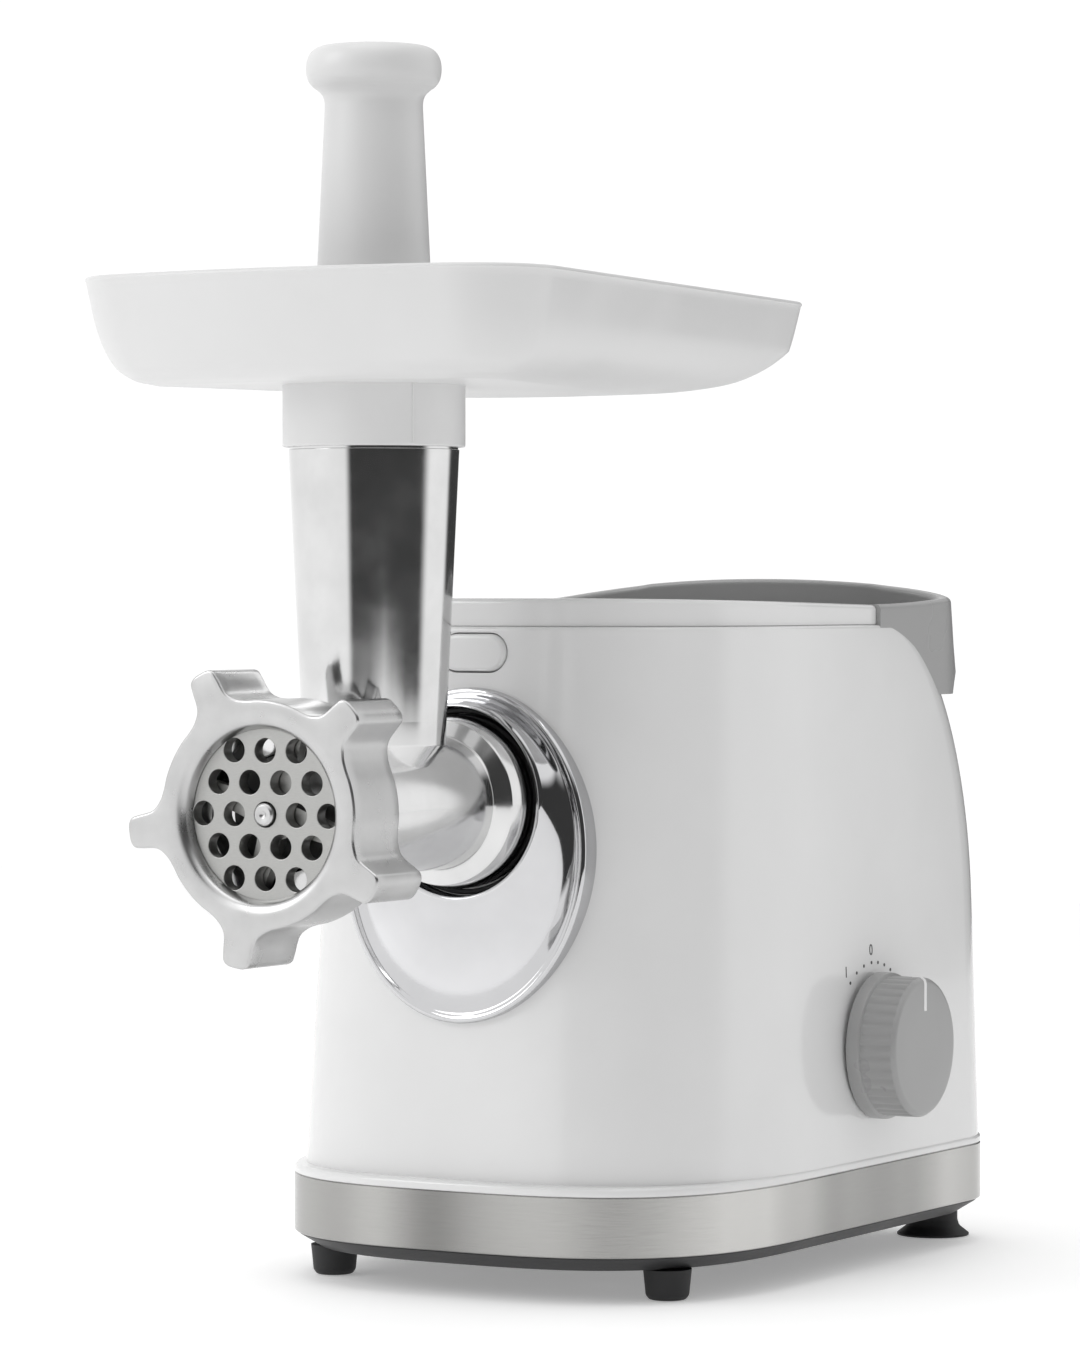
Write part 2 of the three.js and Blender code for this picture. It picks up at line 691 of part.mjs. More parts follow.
function cuttingDisc() {
  const shape = new THREE.Shape(circlePath(0, 0, disc.radius, roundSides).getPoints());
  const rows = [-2, -1, 0, 1, 2];
  for (const row of rows) {
    const z = row * disc.pitch * Math.cos(Math.PI / 6);
    const across = 5 - Math.abs(row);
    for (let k = 0; k < across; k += 1) {
      const x = (k - (across - 1) / 2) * disc.pitch;
      const middle = row === 0 && x === 0;
      shape.holes.push(circlePath(x, z, middle ? auger.stud + 0.5 : disc.hole, 8));
    }
  }
  const rear = boss.front - gap;
  return plateAcross(shape, rear - disc.thickness, rear);
}
add("cutting_disc", cuttingDisc(), "bladeSteel", headFrame);

const knifeFront = boss.front + 0.1;
const knifeRear = knifeFront + knife.thickness;
function crossKnife() {
  const hub = rod(9, knifeFront, knifeRear);
  const blades = [0, 1, 2, 3].map((quarter) => {
    const blade = new THREE.Shape([
      new THREE.Vector2(0, -4.5),
      new THREE.Vector2(knife.reach, -1.5),
      new THREE.Vector2(knife.reach, 4.5),
      new THREE.Vector2(0, 5.5),
    ]);
    return plateAcross(blade, knifeFront, knifeRear).rotateY((quarter * Math.PI) / 2 + 0.35);
  });
  const half = knife.square / 2 + gap;
  return cut(join(hub, ...blades), box([-half, -200, -half], [half, 0, half]));
}
add("cross_knife", crossKnife(), "bladeSteel", headFrame);

function augerScrew() {
  const from = knifeRear + gap;
  const to = barrel.rear + 1;
  const section = new THREE.Shape();
  const sides = 12;
  const fin = [1, 0.95, 0.5];
  for (let k = 0; k < sides; k += 1) {
    const angle = (full * k) / sides;
    const reach = auger.core + (augerRadius - auger.core) * (fin[k] ?? 0);
    section[k ? "lineTo" : "moveTo"](reach * Math.cos(angle), reach * Math.sin(angle));
  }
  const steps = 32;
  const flight = new THREE.ExtrudeGeometry(section, { steps, depth: to - from, bevelEnabled: false });
  const at = flight.getAttribute("position");
  for (let i = 0; i < at.count; i += 1) {
    const twist = (full * auger.turns * at.getZ(i)) / (to - from);
    const x = at.getX(i) * Math.cos(twist) - at.getY(i) * Math.sin(twist);
    const y = at.getX(i) * Math.sin(twist) + at.getY(i) * Math.cos(twist);
    at.setXY(i, x, y);
  }
  flight.rotateX(Math.PI / 2).translate(0, to, 0);
  const half = knife.square / 2;
  const square = box([-half, knifeFront - 0.1, -half], [half, from + 2, half]);
  const stud = rod(auger.stud, auger.studTip, from + 2);
  const shaft = rod(auger.shaft, to - 2, coupling.front - gap);
  return join(flight, square, stud, shaft);
}
add("auger", augerScrew(), "castAluminium", headFrame);

const hexShape = (radius) => new THREE.Shape(circlePath(0, 0, radius, 6).getPoints());
const hexFront = coupling.front + 5;
function augerCoupling() {
  const bodyPart = revolve([
    [0, coupling.front],
    [coupling.radius - 4, coupling.front],
    [coupling.radius, coupling.front + 5],
    [coupling.radius, coupling.rear],
    [0, coupling.rear],
  ], 24);
  const hole = plateAcross(hexShape(coupling.hex + gap), hexFront - 1, coupling.rear + 1);
  return cut(bodyPart, hole);
}
add("auger_coupling", augerCoupling(), "blackPlastic", headFrame);

// ---------------------------------------------------------------- food tray and pusher
function trayRing(z, lean, wall = 0) {
  const by = lean + wall;
  const frontBow = 6;
  const rearBow = 4;
  const frontCorner = Math.max(30 - by, 5);
  const rearCornerRadius = Math.max(20 - by, 5);
  const frontHalf = tray.frontHalf - by;
  const rearHalf = tray.rearHalf - by;
  const frontY = tray.front + by;
  const rearY = tray.rear - by - trayRear.reach * Math.max(0, lean - trayRear.from);
  const right = [
    [0, frontY],
    [frontHalf * 0.34, frontY + frontBow * 0.2],
  ];
  const arc = (x, y, radius, from, to) => {
    for (let k = 0; k <= 4; k += 1) {
      const angle = from + ((to - from) * k) / 4;
      right.push([x + radius * Math.cos(angle), y + radius * Math.sin(angle)]);
    }
  };
  const quarter = Math.PI / 2;
  const rearCornerY = rearY - rearBow - rearCornerRadius;
  arc(frontHalf - frontCorner, frontY + frontBow + frontCorner, frontCorner, 0.12 - quarter, 0.1);
  arc(rearHalf - rearCornerRadius, rearCornerY, rearCornerRadius, 0.1, quarter - 0.12);
  right.push([0, rearY]);
  const left = right.slice(1, -1).reverse().map(([x, y]) => [-x, y]);
  return [...right, ...left].map(([x, y]) => new THREE.Vector3(x, y, z));
}

// Heights above the tray's underside, with how far the rounded wall stands in from the rim.
const trayRear = { from: 4, reach: 4.2 }; // low down, the rear runs in this much further
const trayWall = [[0, 22], [2, 15.5], [7, 9.2], [18, 4], [36, 0]];

function foodTray() {
  const height = tray.rim - tray.bottom;
  const scale = height / trayWall[trayWall.length - 1][0];
  const outer = loft(trayWall.map(([rise, by]) => trayRing(tray.bottom + rise * scale, by)));
  const inner = loft(
    trayWall.map(([rise, by], k) => {
      const up = tray.wall * (1 - (0.8 * k) / (trayWall.length - 1));
      return trayRing(tray.bottom + rise * scale + up, by, tray.wall);
    }),
  );
  const seatInner = seatRadius + gap;
  const throat = chuteBore(chute.topZ) - 0.3;
  const top = chute.topZ + gap;
  const onChute = (geometry) => geometry.translate(0, chute.y, 0);
  const cuffWall = onChute(turnedUp([
    [0, cuff.bottom],
    [cuff.radius, cuff.bottom],
    [cuff.radius, tray.bottom + 2],
    [0, tray.bottom + 2],
  ]));
  const bore = onChute(turnedUp([
    [0, cuff.bottom - 1],
    [seatInner, cuff.bottom - 1],
    [seatInner, top],
    [throat, top],
    [throat, tray.rim],
    [0, tray.rim],
  ]));
  return cut(join(cut(outer, inner), cuffWall), bore);
}
add("food_tray", foodTray(), "softWhite");

function foodPusher() {
  const bottomRadius = chuteBore(pusher.bottom) - gap;
  const cap = pusher.capRadius;
  const low = pusher.capLow;
  const top = pusher.top;
  const outer = [
    [bottomRadius, pusher.bottom],
    [pusher.neck, low - 1],
    [pusher.neck + 1.5, low + 1],
    [cap - 1.5, low + 4],
    [cap, low + 8],
    [cap - 1.5, low + 12],
    [cap - 5, top - 1],
    [cap - 9, top],
    [0, top],
  ];
  const inner = [
    [0, low - 2],
    [pusher.neck - pusher.wall, low - 4],
    [bottomRadius - pusher.wall, pusher.bottom],
  ];
  return turnedUp([...outer, ...inner], roundSides);
}
add("food_pusher", foodPusher(), "softWhite", chuteFrame);

// ---------------------------------------------------------------- knob and rotary switch
const knobBase = wallAt(knob.z - knob.skirt).half + gap;
const knobFace = knobBase + knob.depth;

function controlKnob() {
  const outer = turnedAcross([
    [0, knobBase],
    [knob.skirt, knobBase],
    [knob.skirt, knobBase + knob.skirtDepth],
    [knob.radius, knobBase + knob.skirtDepth + 0.8],
    [knob.radius, knobFace - 1],
    [knob.face, knobFace],
    [0, knobFace],
  ], roundSides);
  const pocket = turnedAcross([
    [7, knobBase - 1],
    [knob.radius - 3, knobBase - 1],
    [knob.radius - 3, knobFace - 3],
    [7, knobFace - 3],
  ], 20);
  const boreRadius = knob.spindle + gap;
  const bore = turnedAcross(
    [[0, knobBase - 1], [boreRadius, knobBase - 1], [boreRadius, knobFace - 4], [0, knobFace - 4]],
    smallSides,
  );
  return cut(outer, pocket, bore);
}
add("control_knob", controlKnob(), "greyPlastic", knobFrame);
const switchRight = knobBase - gap - body.wall - 1.4;
const switchDepth = 17;
const spindle = [
  [0, switchRight - switchDepth + 4],
  [knob.spindle, switchRight - switchDepth + 4],
  [knob.spindle, knobFace - 4.5],
  [0, knobFace - 4.5],
];
add("knob_spindle", turnedAcross(spindle, 12), "brass", knobFrame);
const switchBoreEnd = switchRight - switchDepth + 3;
const switchBore = turnedAcross(
  [[0, switchBoreEnd], [knob.spindle + gap, switchBoreEnd], [knob.spindle + gap, far], [0, far]],
  smallSides,
);
const switchCase = cut(box([switchRight - switchDepth, -15, -12], [switchRight, 15, 12]), switchBore);
add("rotary_switch", switchCase, "blackPlastic", knobFrame);

// ---------------------------------------------------------------- gear train
// Gear centres as [x, z]: the output on the head's axis, two lay shafts, and the motor on x = 0.
const meshDistance = ({ module, pinion, wheel }) => (module * (pinion + wheel)) / 2;
function stepFrom([x, z], distance, angle) {
  return [x + distance * Math.cos(angle), z + distance * Math.sin(angle)];
}
const stageY = (stage) => gearbox.front + stage.back;
const lowerAngle = -Math.PI / 4;
const returnAngle = -Math.PI + 0.51;
const outputAxis = [0, headAxisZ];
const layAxisA = stepFrom(outputAxis, meshDistance(stages[2]), lowerAngle);
const layAxisB = stepFrom(layAxisA, meshDistance(stages[1]), returnAngle);
const motorAngle = -Math.acos(-layAxisB[0] / meshDistance(stages[0]));
const motorAxis = stepFrom(layAxisB, meshDistance(stages[0]), motorAngle);

function gear(teeth, module, phase, from, to, bore) {
  const pitch = full / teeth;
  const pitchRadius = (teeth * module) / 2;
  const root = pitchRadius - 1.2 * module;
  const tip = pitchRadius + 0.85 * module;
  const shape = new THREE.Shape();
  for (let k = 0; k < teeth; k += 1) {
    const corners = [[root, -0.3], [tip, -0.11], [tip, 0.11], [root, 0.3]];
    corners.forEach(([radius, share], corner) => {
      const angle = phase + (k + share) * pitch;
      shape[k || corner ? "lineTo" : "moveTo"](radius * Math.cos(angle), radius * Math.sin(angle));
    });
  }
  if (bore) shape.holes.push(circlePath(0, 0, bore, 12));
  return plateAcross(shape, from, to);
}

// Each wheel meets its pinion with a tooth of the pinion in a gap of the wheel.
const wheelOf = (stage, towardsPinion, bore) =>
  gear(
    stage.wheel,
    stage.module,
    towardsPinion + Math.PI / stage.wheel,
    stageY(stage),
    stageY(stage) + stage.width,
    bore,
  );
const pinionOf = (stage, towardsWheel, from, to, bore) =>
  gear(stage.pinion, stage.module, towardsWheel, from, to, bore);

const turningBore = shaftRadius + 0.3;
const outputWheel = wheelOf(stages[2], lowerAngle, outputRadius + gap);
add("output_gear", outputWheel, "gearNylon", headFrame);
const driveHex = plateAcross(hexShape(coupling.hex), hexFront, -4);
const outputShaft = join(driveHex, rod(outputRadius, -5, gearboxRear - gearbox.wall - 2));
add("output_shaft", outputShaft, "bladeSteel", headFrame);

const pinionA = pinionOf(
  stages[2],
  lowerAngle + Math.PI,
  stageY(stages[2]) - 0.5,
  stageY(stages[1]) + 1,
  turningBore,
);
const wheelA = wheelOf(stages[1], returnAngle, turningBore);
add("lay_gear_a", join(wheelA, pinionA), "gearNylon").position.set(layAxisA[0], 0, layAxisA[1]);
const pinionB = pinionOf(
  stages[1],
  returnAngle + Math.PI,
  stageY(stages[1]) - 0.5,
  stageY(stages[0]) + 1,
  turningBore,
);
const wheelB = wheelOf(stages[0], motorAngle, turningBore);
add("lay_gear_b", join(wheelB, pinionB), "gearNylon").position.set(layAxisB[0], 0, layAxisB[1]);

const axleFront = gearbox.front + 0.6;
const axle = () => rod(shaftRadius, axleFront, gearboxRear - 0.6);
add("gear_axle_a", axle(), "bladeSteel").position.set(layAxisA[0], 0, layAxisA[1]);
add("gear_axle_b", axle(), "bladeSteel").position.set(layAxisB[0], 0, layAxisB[1]);

// ---------------------------------------------------------------- gearbox
const bearingRadius = 13;
const coverRear = gearbox.front + gearbox.wall;
const caseShape = () => roundedRectangle(gearbox.left, gearbox.low, gearbox.right, gearbox.high, 14);
const pocketShape = roundedRectangle(
  gearbox.left + gearbox.wall,
  gearbox.low + gearbox.wall,
  gearbox.right - gearbox.wall,
  gearbox.high - gearbox.wall,
  11,
);
const caseScrews = [
  [gearbox.right - 5, gearbox.low + 12],
  [gearbox.left + 5, gearbox.high - 12],
];
const atPoint = (geometry, [x, z]) => geometry.translate(x, 0, z);
const bearing = { inner: shaftRadius + gap, outer: 9 };
const tieX = 38; // the motor's two tie bolts stand this far from its axis

function gearboxCase() {
  const outer = plateAcross(caseShape(), coverRear + gap, gearboxRear);
  const pocket = plateAcross(pocketShape, coverRear - 1, gearboxRear - gearbox.wall);
  const posts = caseScrews.map((spot) => atPoint(rod(5, coverRear + gap, gearboxRear, 8), spot));
  const screwHoles = caseScrews.map((spot) => atPoint(rod(1.8, 0, coverRear + 12, 8), spot));
  const axleHoles = [layAxisA, layAxisB].map((spot) => atPoint(rod(shaftRadius + gap, 20, 60, 12), spot));
  const motorHole = atPoint(rod(bearing.outer + gap, 20, 60, 16), motorAxis);
  const ties = [-tieX, tieX].map((x) => atPoint(rod(2.3, 20, 60, 8), [motorAxis[0] + x, motorAxis[1]]));
  const floorTop = base.bottom + base.floor + gap;
  const legs = [gearbox.left + 16, gearbox.right - 20].map((x) =>
    box([x, coverRear + gap, floorTop], [x + 12, gearboxRear, gearbox.low + 1]),
  );
  const shell = join(cut(outer, pocket), ...posts, ...legs, springTab);
  return cut(shell, ...screwHoles, ...axleHoles, ...ties, motorHole);
}
add("gearbox_case", gearboxCase(), "castAluminium");

function gearboxCover() {
  const plate = plateAcross(caseShape(), gearbox.front, coverRear);
  const screwHoles = caseScrews.map((spot) => atPoint(rod(2.1, 0, 20, 8), spot));
  const bearingHole = atPoint(rod(bearingRadius + gap, 0, 20, 24), outputAxis);
  const axleHoles = [layAxisA, layAxisB].map((spot) =>
    atPoint(rod(shaftRadius + gap, axleFront - gap, 20, 12), spot),
  );
  return cut(plate, bearingHole, ...screwHoles, ...axleHoles);
}
add("gearbox_cover", gearboxCover(), "castAluminium");
const outputBearing = tube(outputRadius + gap, bearingRadius, gearbox.front, coverRear + 2.4, 24);
add("output_bearing", outputBearing, "brass", headFrame);
caseScrews.forEach((spot, k) => {
  const screw = revolve([[0, -0.8], [3.2, -0.8], [3.2, 1.7], [1.5, 1.7], [1.5, 15], [0, 15]], 10);
  add("gearbox_screw_" + (k + 1), atPoint(screw, spot), "bladeSteel");
});

// ---------------------------------------------------------------- motor
const motorFrame = frameAt(motorAxis[0], 0, motorAxis[1]);
const can = { inner: motor.radius + gap, outer: motor.radius + 2.2 };
const framePlate = 3;
const canFront = gearboxRear + gap;
const canRear = motorRear - framePlate - gap;

function motorStator() {
  const shape = new THREE.Shape(circlePath(0, 0, motor.radius, roundSides).getPoints());
  const window = { half: 34, high: 16 };
  const bore = rod(motor.bore, 0, 300, roundSides);
  const windows = box([-window.half, 0, -window.high], [window.half, 300, window.high]);
  const ties = [-tieX, tieX].map((x) => rod(2.3, 0, 300, 8).translate(x, 0, 0));
  return cut(plateAcross(shape, stackFront, stackRear), bore, windows, ...ties);
}
add("motor_stator", motorStator(), "laminate", motorFrame);

function sector(inner, outer, from, to, front, rear) {
  const shape = new THREE.Shape();
  const steps = Math.max(2, Math.round((to - from) / 0.35));
  for (let k = 0; k <= steps; k += 1) {
    const angle = from + ((to - from) * k) / steps;
    shape[k ? "lineTo" : "moveTo"](outer * Math.cos(angle), outer * Math.sin(angle));
  }
  for (let k = steps; k >= 0; k -= 1) {
    const angle = from + ((to - from) * k) / steps;
    shape.lineTo(inner * Math.cos(angle), inner * Math.sin(angle));
  }
  return plateAcross(shape, front, rear);
}

function fieldCoil() {
  const low = 0.1;
  const high = 0.46;
  const inner = 27;
  const outer = 33;
  const front = stackFront - coilHead;
  const rear = stackRear + coilHead;
  return join(
    sector(inner, outer, low, Math.PI - low, front, stackFront - 1),
    sector(inner, outer, low, Math.PI - low, stackRear + 1, rear),
    sector(inner, outer, low, high, front, rear),
    sector(inner, outer, Math.PI - high, Math.PI - low, front, rear),
  );
}
add("field_coil_upper", fieldCoil(), "copper", motorFrame);
add("field_coil_lower", fieldCoil(), "copper", motorFrame).rotation.y = Math.PI;

const canWindows = [0, 1, 2, 3].map((k) =>
  box([-12, canFront + 8, 20], [12, stackFront - 6, 60]).rotateY((k * Math.PI) / 2 + Math.PI / 4),
);
add("motor_can", cut(tube(can.inner, can.outer, canFront, canRear), ...canWindows), "laminate", motorFrame);

function motorFramePlate(front, hub) {
  const plate = rod(can.outer, front, front + framePlate, roundSides);
  const hole = rod(hub, front - 1, front + framePlate + 1, 16);
  const tieHole = () => rod(2.3, front - 1, front + framePlate + 1, 8);
  const ties = [-tieX, tieX].map((x) => tieHole().translate(x, 0, 0));
  const vents = [0, 1, 2, 3].map((k) =>
    sector(16, 32, 0.35, 1.2, front - 1, front + framePlate + 1).rotateY((k * Math.PI) / 2),
  );
  return cut(plate, hole, ...ties, ...vents);
}
const rearPlateY = motorRear - framePlate;
const commutator = { front: stackRear + coilHead + 3, rear: stackRear + coilHead + 16, radius: 12 };
const brushLength = 14;
const brushArms = [-1, 1].map((side) => {
  const innerX = commutator.radius + gap + brushLength + gap;
  const xs = [side * innerX, side * (innerX + 4)].sort((a, b) => a - b);
  return box([xs[0], commutator.front + 1, -5], [xs[1], rearPlateY + 1, 5]);
});
add(
  "motor_rear_plate",
  join(motorFramePlate(rearPlateY, bearing.outer + gap), ...brushArms),
  "castAluminium",
  motorFrame,
);
for (const [side, sign] of [["left", -1], ["right", 1]]) {
  const brushFrom = commutator.radius + gap;
  const xs = [sign * brushFrom, sign * (brushFrom + brushLength)].sort((a, b) => a - b);
  const brush = box([xs[0], commutator.front + 3, -3.5], [xs[1], commutator.rear - 3, 3.5]);
  add("carbon_brush_" + side, brush, "blackPlastic", motorFrame);
  const head = motorRear + gap;
  const tieFront = gearboxRear - gearbox.wall;
  const end = head + 2.3;
  const tieBolt = [[0, tieFront], [1.9, tieFront], [1.9, head], [3.4, head], [3.4, end], [0, end]];
  const tie = revolve(tieBolt, 10);
  add("motor_tie_" + side, tie.translate(sign * tieX, 0, 0), "bladeSteel", motorFrame);
}
const wallY = gearboxRear - gearbox.wall;
add("front_bearing", tube(bearing.inner, bearing.outer, wallY + gap, gearboxRear, 16), "bladeSteel", motorFrame);
add("rear_bearing", tube(bearing.inner, bearing.outer, rearPlateY, motorRear, 16), "bladeSteel", motorFrame);

const shaftFront = stageY(stages[0]) - 1;
const motorPinion = pinionOf(
  stages[0],
  motorAngle + Math.PI,
  shaftFront,
  stageY(stages[0]) + stages[0].width + 1,
);
add("rotor_shaft", join(motorPinion, rod(shaftRadius, shaftFront + 2, motorRear - 1)), "bladeSteel", motorFrame);
const shaftBore = shaftRadius + gap;
add("rotor_core", tube(shaftBore, motor.rotor, stackFront, stackRear), "laminate", motorFrame);
add("commutator", tube(shaftBore, commutator.radius, commutator.front, commutator.rear, 20), "copper", motorFrame);

function motorFan() {
  const front = gearboxRear + 3;
  const rear = stackFront - coilHead - 2;
  const bladeCount = 7;
  const hub = tube(shaftBore, 10, front, rear, 16);
  const disk = tube(shaftBore, motor.fan, rear - 1.6, rear, 24);
  const blades = [];
  for (let k = 0; k < bladeCount; k += 1) {
    const blade = box([9, front + 1.5, -0.8], [motor.fan - 1, rear - 1, 0.8]);
    blades.push(blade.rotateY((full * k) / bladeCount + 0.2));
  }
  return join(hub, disk, ...blades);
}
add("motor_fan", motorFan(), "gearNylon", motorFrame);

function motorCradle() {
  const floorTop = base.bottom + base.floor + gap;
  const block = box([-30, canFront + 12, floorTop], [30, canRear - 20, motorAxis[1] - 22]);
  const seat = rod(can.outer + gap, 0, 300, roundSides).translate(motorAxis[0], 0, motorAxis[1]);
  const passage = box([-20, 0, floorTop + 6], [20, 300, motorAxis[1] - can.outer - 5]);
  return cut(block, seat, passage);
}
add("motor_cradle", motorCradle(), "rubber");

// ---------------------------------------------------------------- control board and cord inlet
const board = { left: -78, right: -42, front: 78, rear: 148, z: 22, thickness: 1.6 };
add(
  "control_board",
  box([board.left, board.front, board.z], [board.right, board.rear, board.z + board.thickness]),
  "boardGreen",
);

const inletFace = body.rear;
const cordInlet = revolve([
  [3.6, inletFace - 12],
  [inlet.radius - gap, inletFace - 12],
  [inlet.radius - gap, inletFace + 0.4],
  [inlet.radius + 2, inletFace + 0.4],
  [inlet.radius + 1, inletFace + 4],
  [3.6, inletFace + 4],
], smallSides);
add("cord_inlet", cordInlet.translate(inlet.x, 0, inlet.z), "rubber");

const bounds = new THREE.Box3().setFromObject(grinder);
const middle = bounds.getCenter(new THREE.Vector3());
grinder.position.set(-middle.x, -middle.y, -bounds.min.z);

export default grinder;
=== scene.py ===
# Electric meat grinder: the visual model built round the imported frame.
# Sizes are in millimetres, with x = 0 on the centre plane, y = 0 on the front feet's line and
# z = 0 on the table; place() turns them into metres in the row's frame.
import json
import math

import bmesh
import bpy
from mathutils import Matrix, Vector


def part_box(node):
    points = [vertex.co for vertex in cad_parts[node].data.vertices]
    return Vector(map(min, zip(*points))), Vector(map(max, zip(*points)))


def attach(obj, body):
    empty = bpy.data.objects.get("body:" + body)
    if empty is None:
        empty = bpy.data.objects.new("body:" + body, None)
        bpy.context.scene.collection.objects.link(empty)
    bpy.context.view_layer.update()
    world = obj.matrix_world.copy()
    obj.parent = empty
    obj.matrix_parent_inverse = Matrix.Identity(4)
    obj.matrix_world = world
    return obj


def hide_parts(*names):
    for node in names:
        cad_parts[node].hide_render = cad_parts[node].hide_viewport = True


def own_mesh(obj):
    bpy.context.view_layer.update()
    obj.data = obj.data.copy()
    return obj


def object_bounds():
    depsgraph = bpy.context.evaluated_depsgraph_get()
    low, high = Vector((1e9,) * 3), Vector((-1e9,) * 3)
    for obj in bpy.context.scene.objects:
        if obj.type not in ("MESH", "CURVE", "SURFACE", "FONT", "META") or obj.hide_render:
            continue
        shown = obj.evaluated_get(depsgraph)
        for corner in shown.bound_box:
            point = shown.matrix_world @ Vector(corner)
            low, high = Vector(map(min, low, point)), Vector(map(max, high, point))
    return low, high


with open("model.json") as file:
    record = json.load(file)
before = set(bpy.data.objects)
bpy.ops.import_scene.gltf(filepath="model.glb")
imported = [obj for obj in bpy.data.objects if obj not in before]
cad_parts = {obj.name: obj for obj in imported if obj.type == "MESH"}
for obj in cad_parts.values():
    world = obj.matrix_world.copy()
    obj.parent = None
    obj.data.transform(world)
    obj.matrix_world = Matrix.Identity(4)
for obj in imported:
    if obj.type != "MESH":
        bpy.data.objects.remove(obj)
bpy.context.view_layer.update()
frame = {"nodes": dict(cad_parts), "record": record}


def middle(node, axis):
    low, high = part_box(node)
    return (low[axis] + high[axis]) / 2


ORIGIN = Vector((middle("trim_band", 0), middle("front_foot_left", 1), 0))
HEAD_Z = 170.0
CHUTE_Y = -81.3
GAP = 0.3
TAU = 2 * math.pi


def place(point):
    return ORIGIN + Vector(point) / 1000


def linked(name, data):
    """A new object in the scene."""
    item = bpy.data.objects.new(name, data)
    bpy.context.scene.collection.objects.link(item)
    return item


# ---------------------------------------------------------------- camera
CAMERA = {"at": (929.66, -1570.08, 244.34), "lens": 139.8, "down": 0.983, "heading": 30.17}
camera_data = bpy.data.cameras.new("camera")
camera_data.lens = CAMERA["lens"]
camera_data.sensor_width = 36
camera_data.sensor_fit = "AUTO"
camera_data.clip_start = 0.1
camera_data.clip_end = 60
camera = linked("camera", camera_data)
camera.location = place(CAMERA["at"])
camera.rotation_euler = (math.radians(90 - CAMERA["down"]), 0, math.radians(CAMERA["heading"]))
bpy.context.scene.camera = camera
bpy.context.scene.view_settings.view_transform = "Standard"


# ---------------------------------------------------------------- materials
def new_material(name, color, roughness, metallic=0.0, **sockets):
    material = bpy.data.materials.new(name)
    material.use_nodes = True
    shader = material.node_tree.nodes["Principled BSDF"]
    shader.inputs["Base Color"].default_value = (*color, 1)
    shader.inputs["Roughness"].default_value = roughness
    shader.inputs["Metallic"].default_value = metallic
    for key, value in sockets.items():
        shader.inputs[key.replace("_", " ")].default_value = value
    return material


def texture(material, scale, stretch=(1, 1, 1), detail=3.0):
    """A noise pattern in the object's own metres, stretched along its axes."""
    nodes = material.node_tree.nodes
    links = material.node_tree.links
    coordinates = nodes.new("ShaderNodeTexCoord")
    mapping = nodes.new("ShaderNodeMapping")
    mapping.inputs["Scale"].default_value = stretch
    noise = nodes.new("ShaderNodeTexNoise")
    noise.inputs["Scale"].default_value = scale
    noise.inputs["Detail"].default_value = detail
    links.new(coordinates.outputs["Object"], mapping.inputs["Vector"])
    links.new(mapping.outputs["Vector"], noise.inputs["Vector"])
    return noise.outputs["Fac"]


def vary_roughness(material, pattern, low, high):
    nodes = material.node_tree.nodes
    spread = nodes.new("ShaderNodeMapRange")
    spread.inputs["From Min"].default_value = 0.3
    spread.inputs["From Max"].default_value = 0.7
    spread.inputs["To Min"].default_value = low
    spread.inputs["To Max"].default_value = high
    material.node_tree.links.new(pattern, spread.inputs["Value"])
    shader = nodes["Principled BSDF"]
    material.node_tree.links.new(spread.outputs["Result"], shader.inputs["Roughness"])


def vary_color(material, pattern, dark, light):
    nodes = material.node_tree.nodes
    ramp = nodes.new("ShaderNodeValToRGB")
    ramp.color_ramp.elements[0].position = 0.3
    ramp.color_ramp.elements[1].position = 0.7
    ramp.color_ramp.elements[0].color = (*dark, 1)
    ramp.color_ramp.elements[1].color = (*light, 1)
    material.node_tree.links.new(pattern, ramp.inputs["Fac"])
    shader = nodes["Principled BSDF"]
    material.node_tree.links.new(ramp.outputs["Color"], shader.inputs["Base Color"])


def add_bump(material, pattern, strength, distance):
    nodes = material.node_tree.nodes
    bump = nodes.new("ShaderNodeBump")
    bump.inputs["Strength"].default_value = strength
    bump.inputs["Distance"].default_value = distance
    material.node_tree.links.new(pattern, bump.inputs["Height"])
    shader = nodes["Principled BSDF"]
    material.node_tree.links.new(bump.outputs["Normal"], shader.inputs["Normal"])


def plastic(name, color, rough, spread=0.04, grain=0.05, scale=1400, **sockets):
    material = new_material(name, color, rough, **sockets)
    cloud = texture(material, 24)
    light = tuple(min(1.0, c * 1.015 + 0.002) for c in color)
    vary_color(material, cloud, tuple(c * 0.985 for c in color), light)
    vary_roughness(material, cloud, rough - spread, rough + spread)
    add_bump(material, texture(material, scale, detail=2), grain, 0.0001)
    return material


def metal(name, color, rough, spread=0.05, stretch=(1, 1, 1), scale=300, grain=0.06, **sockets):
    material = new_material(name, color, rough, metallic=1.0, **sockets)
    lines = texture(material, scale, stretch, detail=4)
    light = tuple(min(1, c * 1.04) for c in color)
    vary_color(material, lines, tuple(c * 0.93 for c in color), light)
    vary_roughness(material, lines, rough - spread, rough + spread)
    add_bump(material, lines, grain, 0.00005)
    return material


def brushed_steel():
    """Fine lines in the roughness and the relief, and wide soft patches in the tone that are
    painted reflections: dark and light streaks running up the band.
    """
    light, dark = (0.56, 0.555, 0.54), (0.22, 0.218, 0.212)
    material = new_material("steel_brushed", light, 0.2, metallic=1.0)
    lines = texture(material, 5200, (0.02, 0.02, 1), detail=4)
    vary_roughness(material, lines, 0.15, 0.25)
    add_bump(material, lines, 0.1, 0.00005)
    # painted reflection: wide dark and light patches in the base colour, the same all the way up
    # the band
    vary_color(material, texture(material, 17, (1, 1, 0), detail=1), dark, light)
    return material


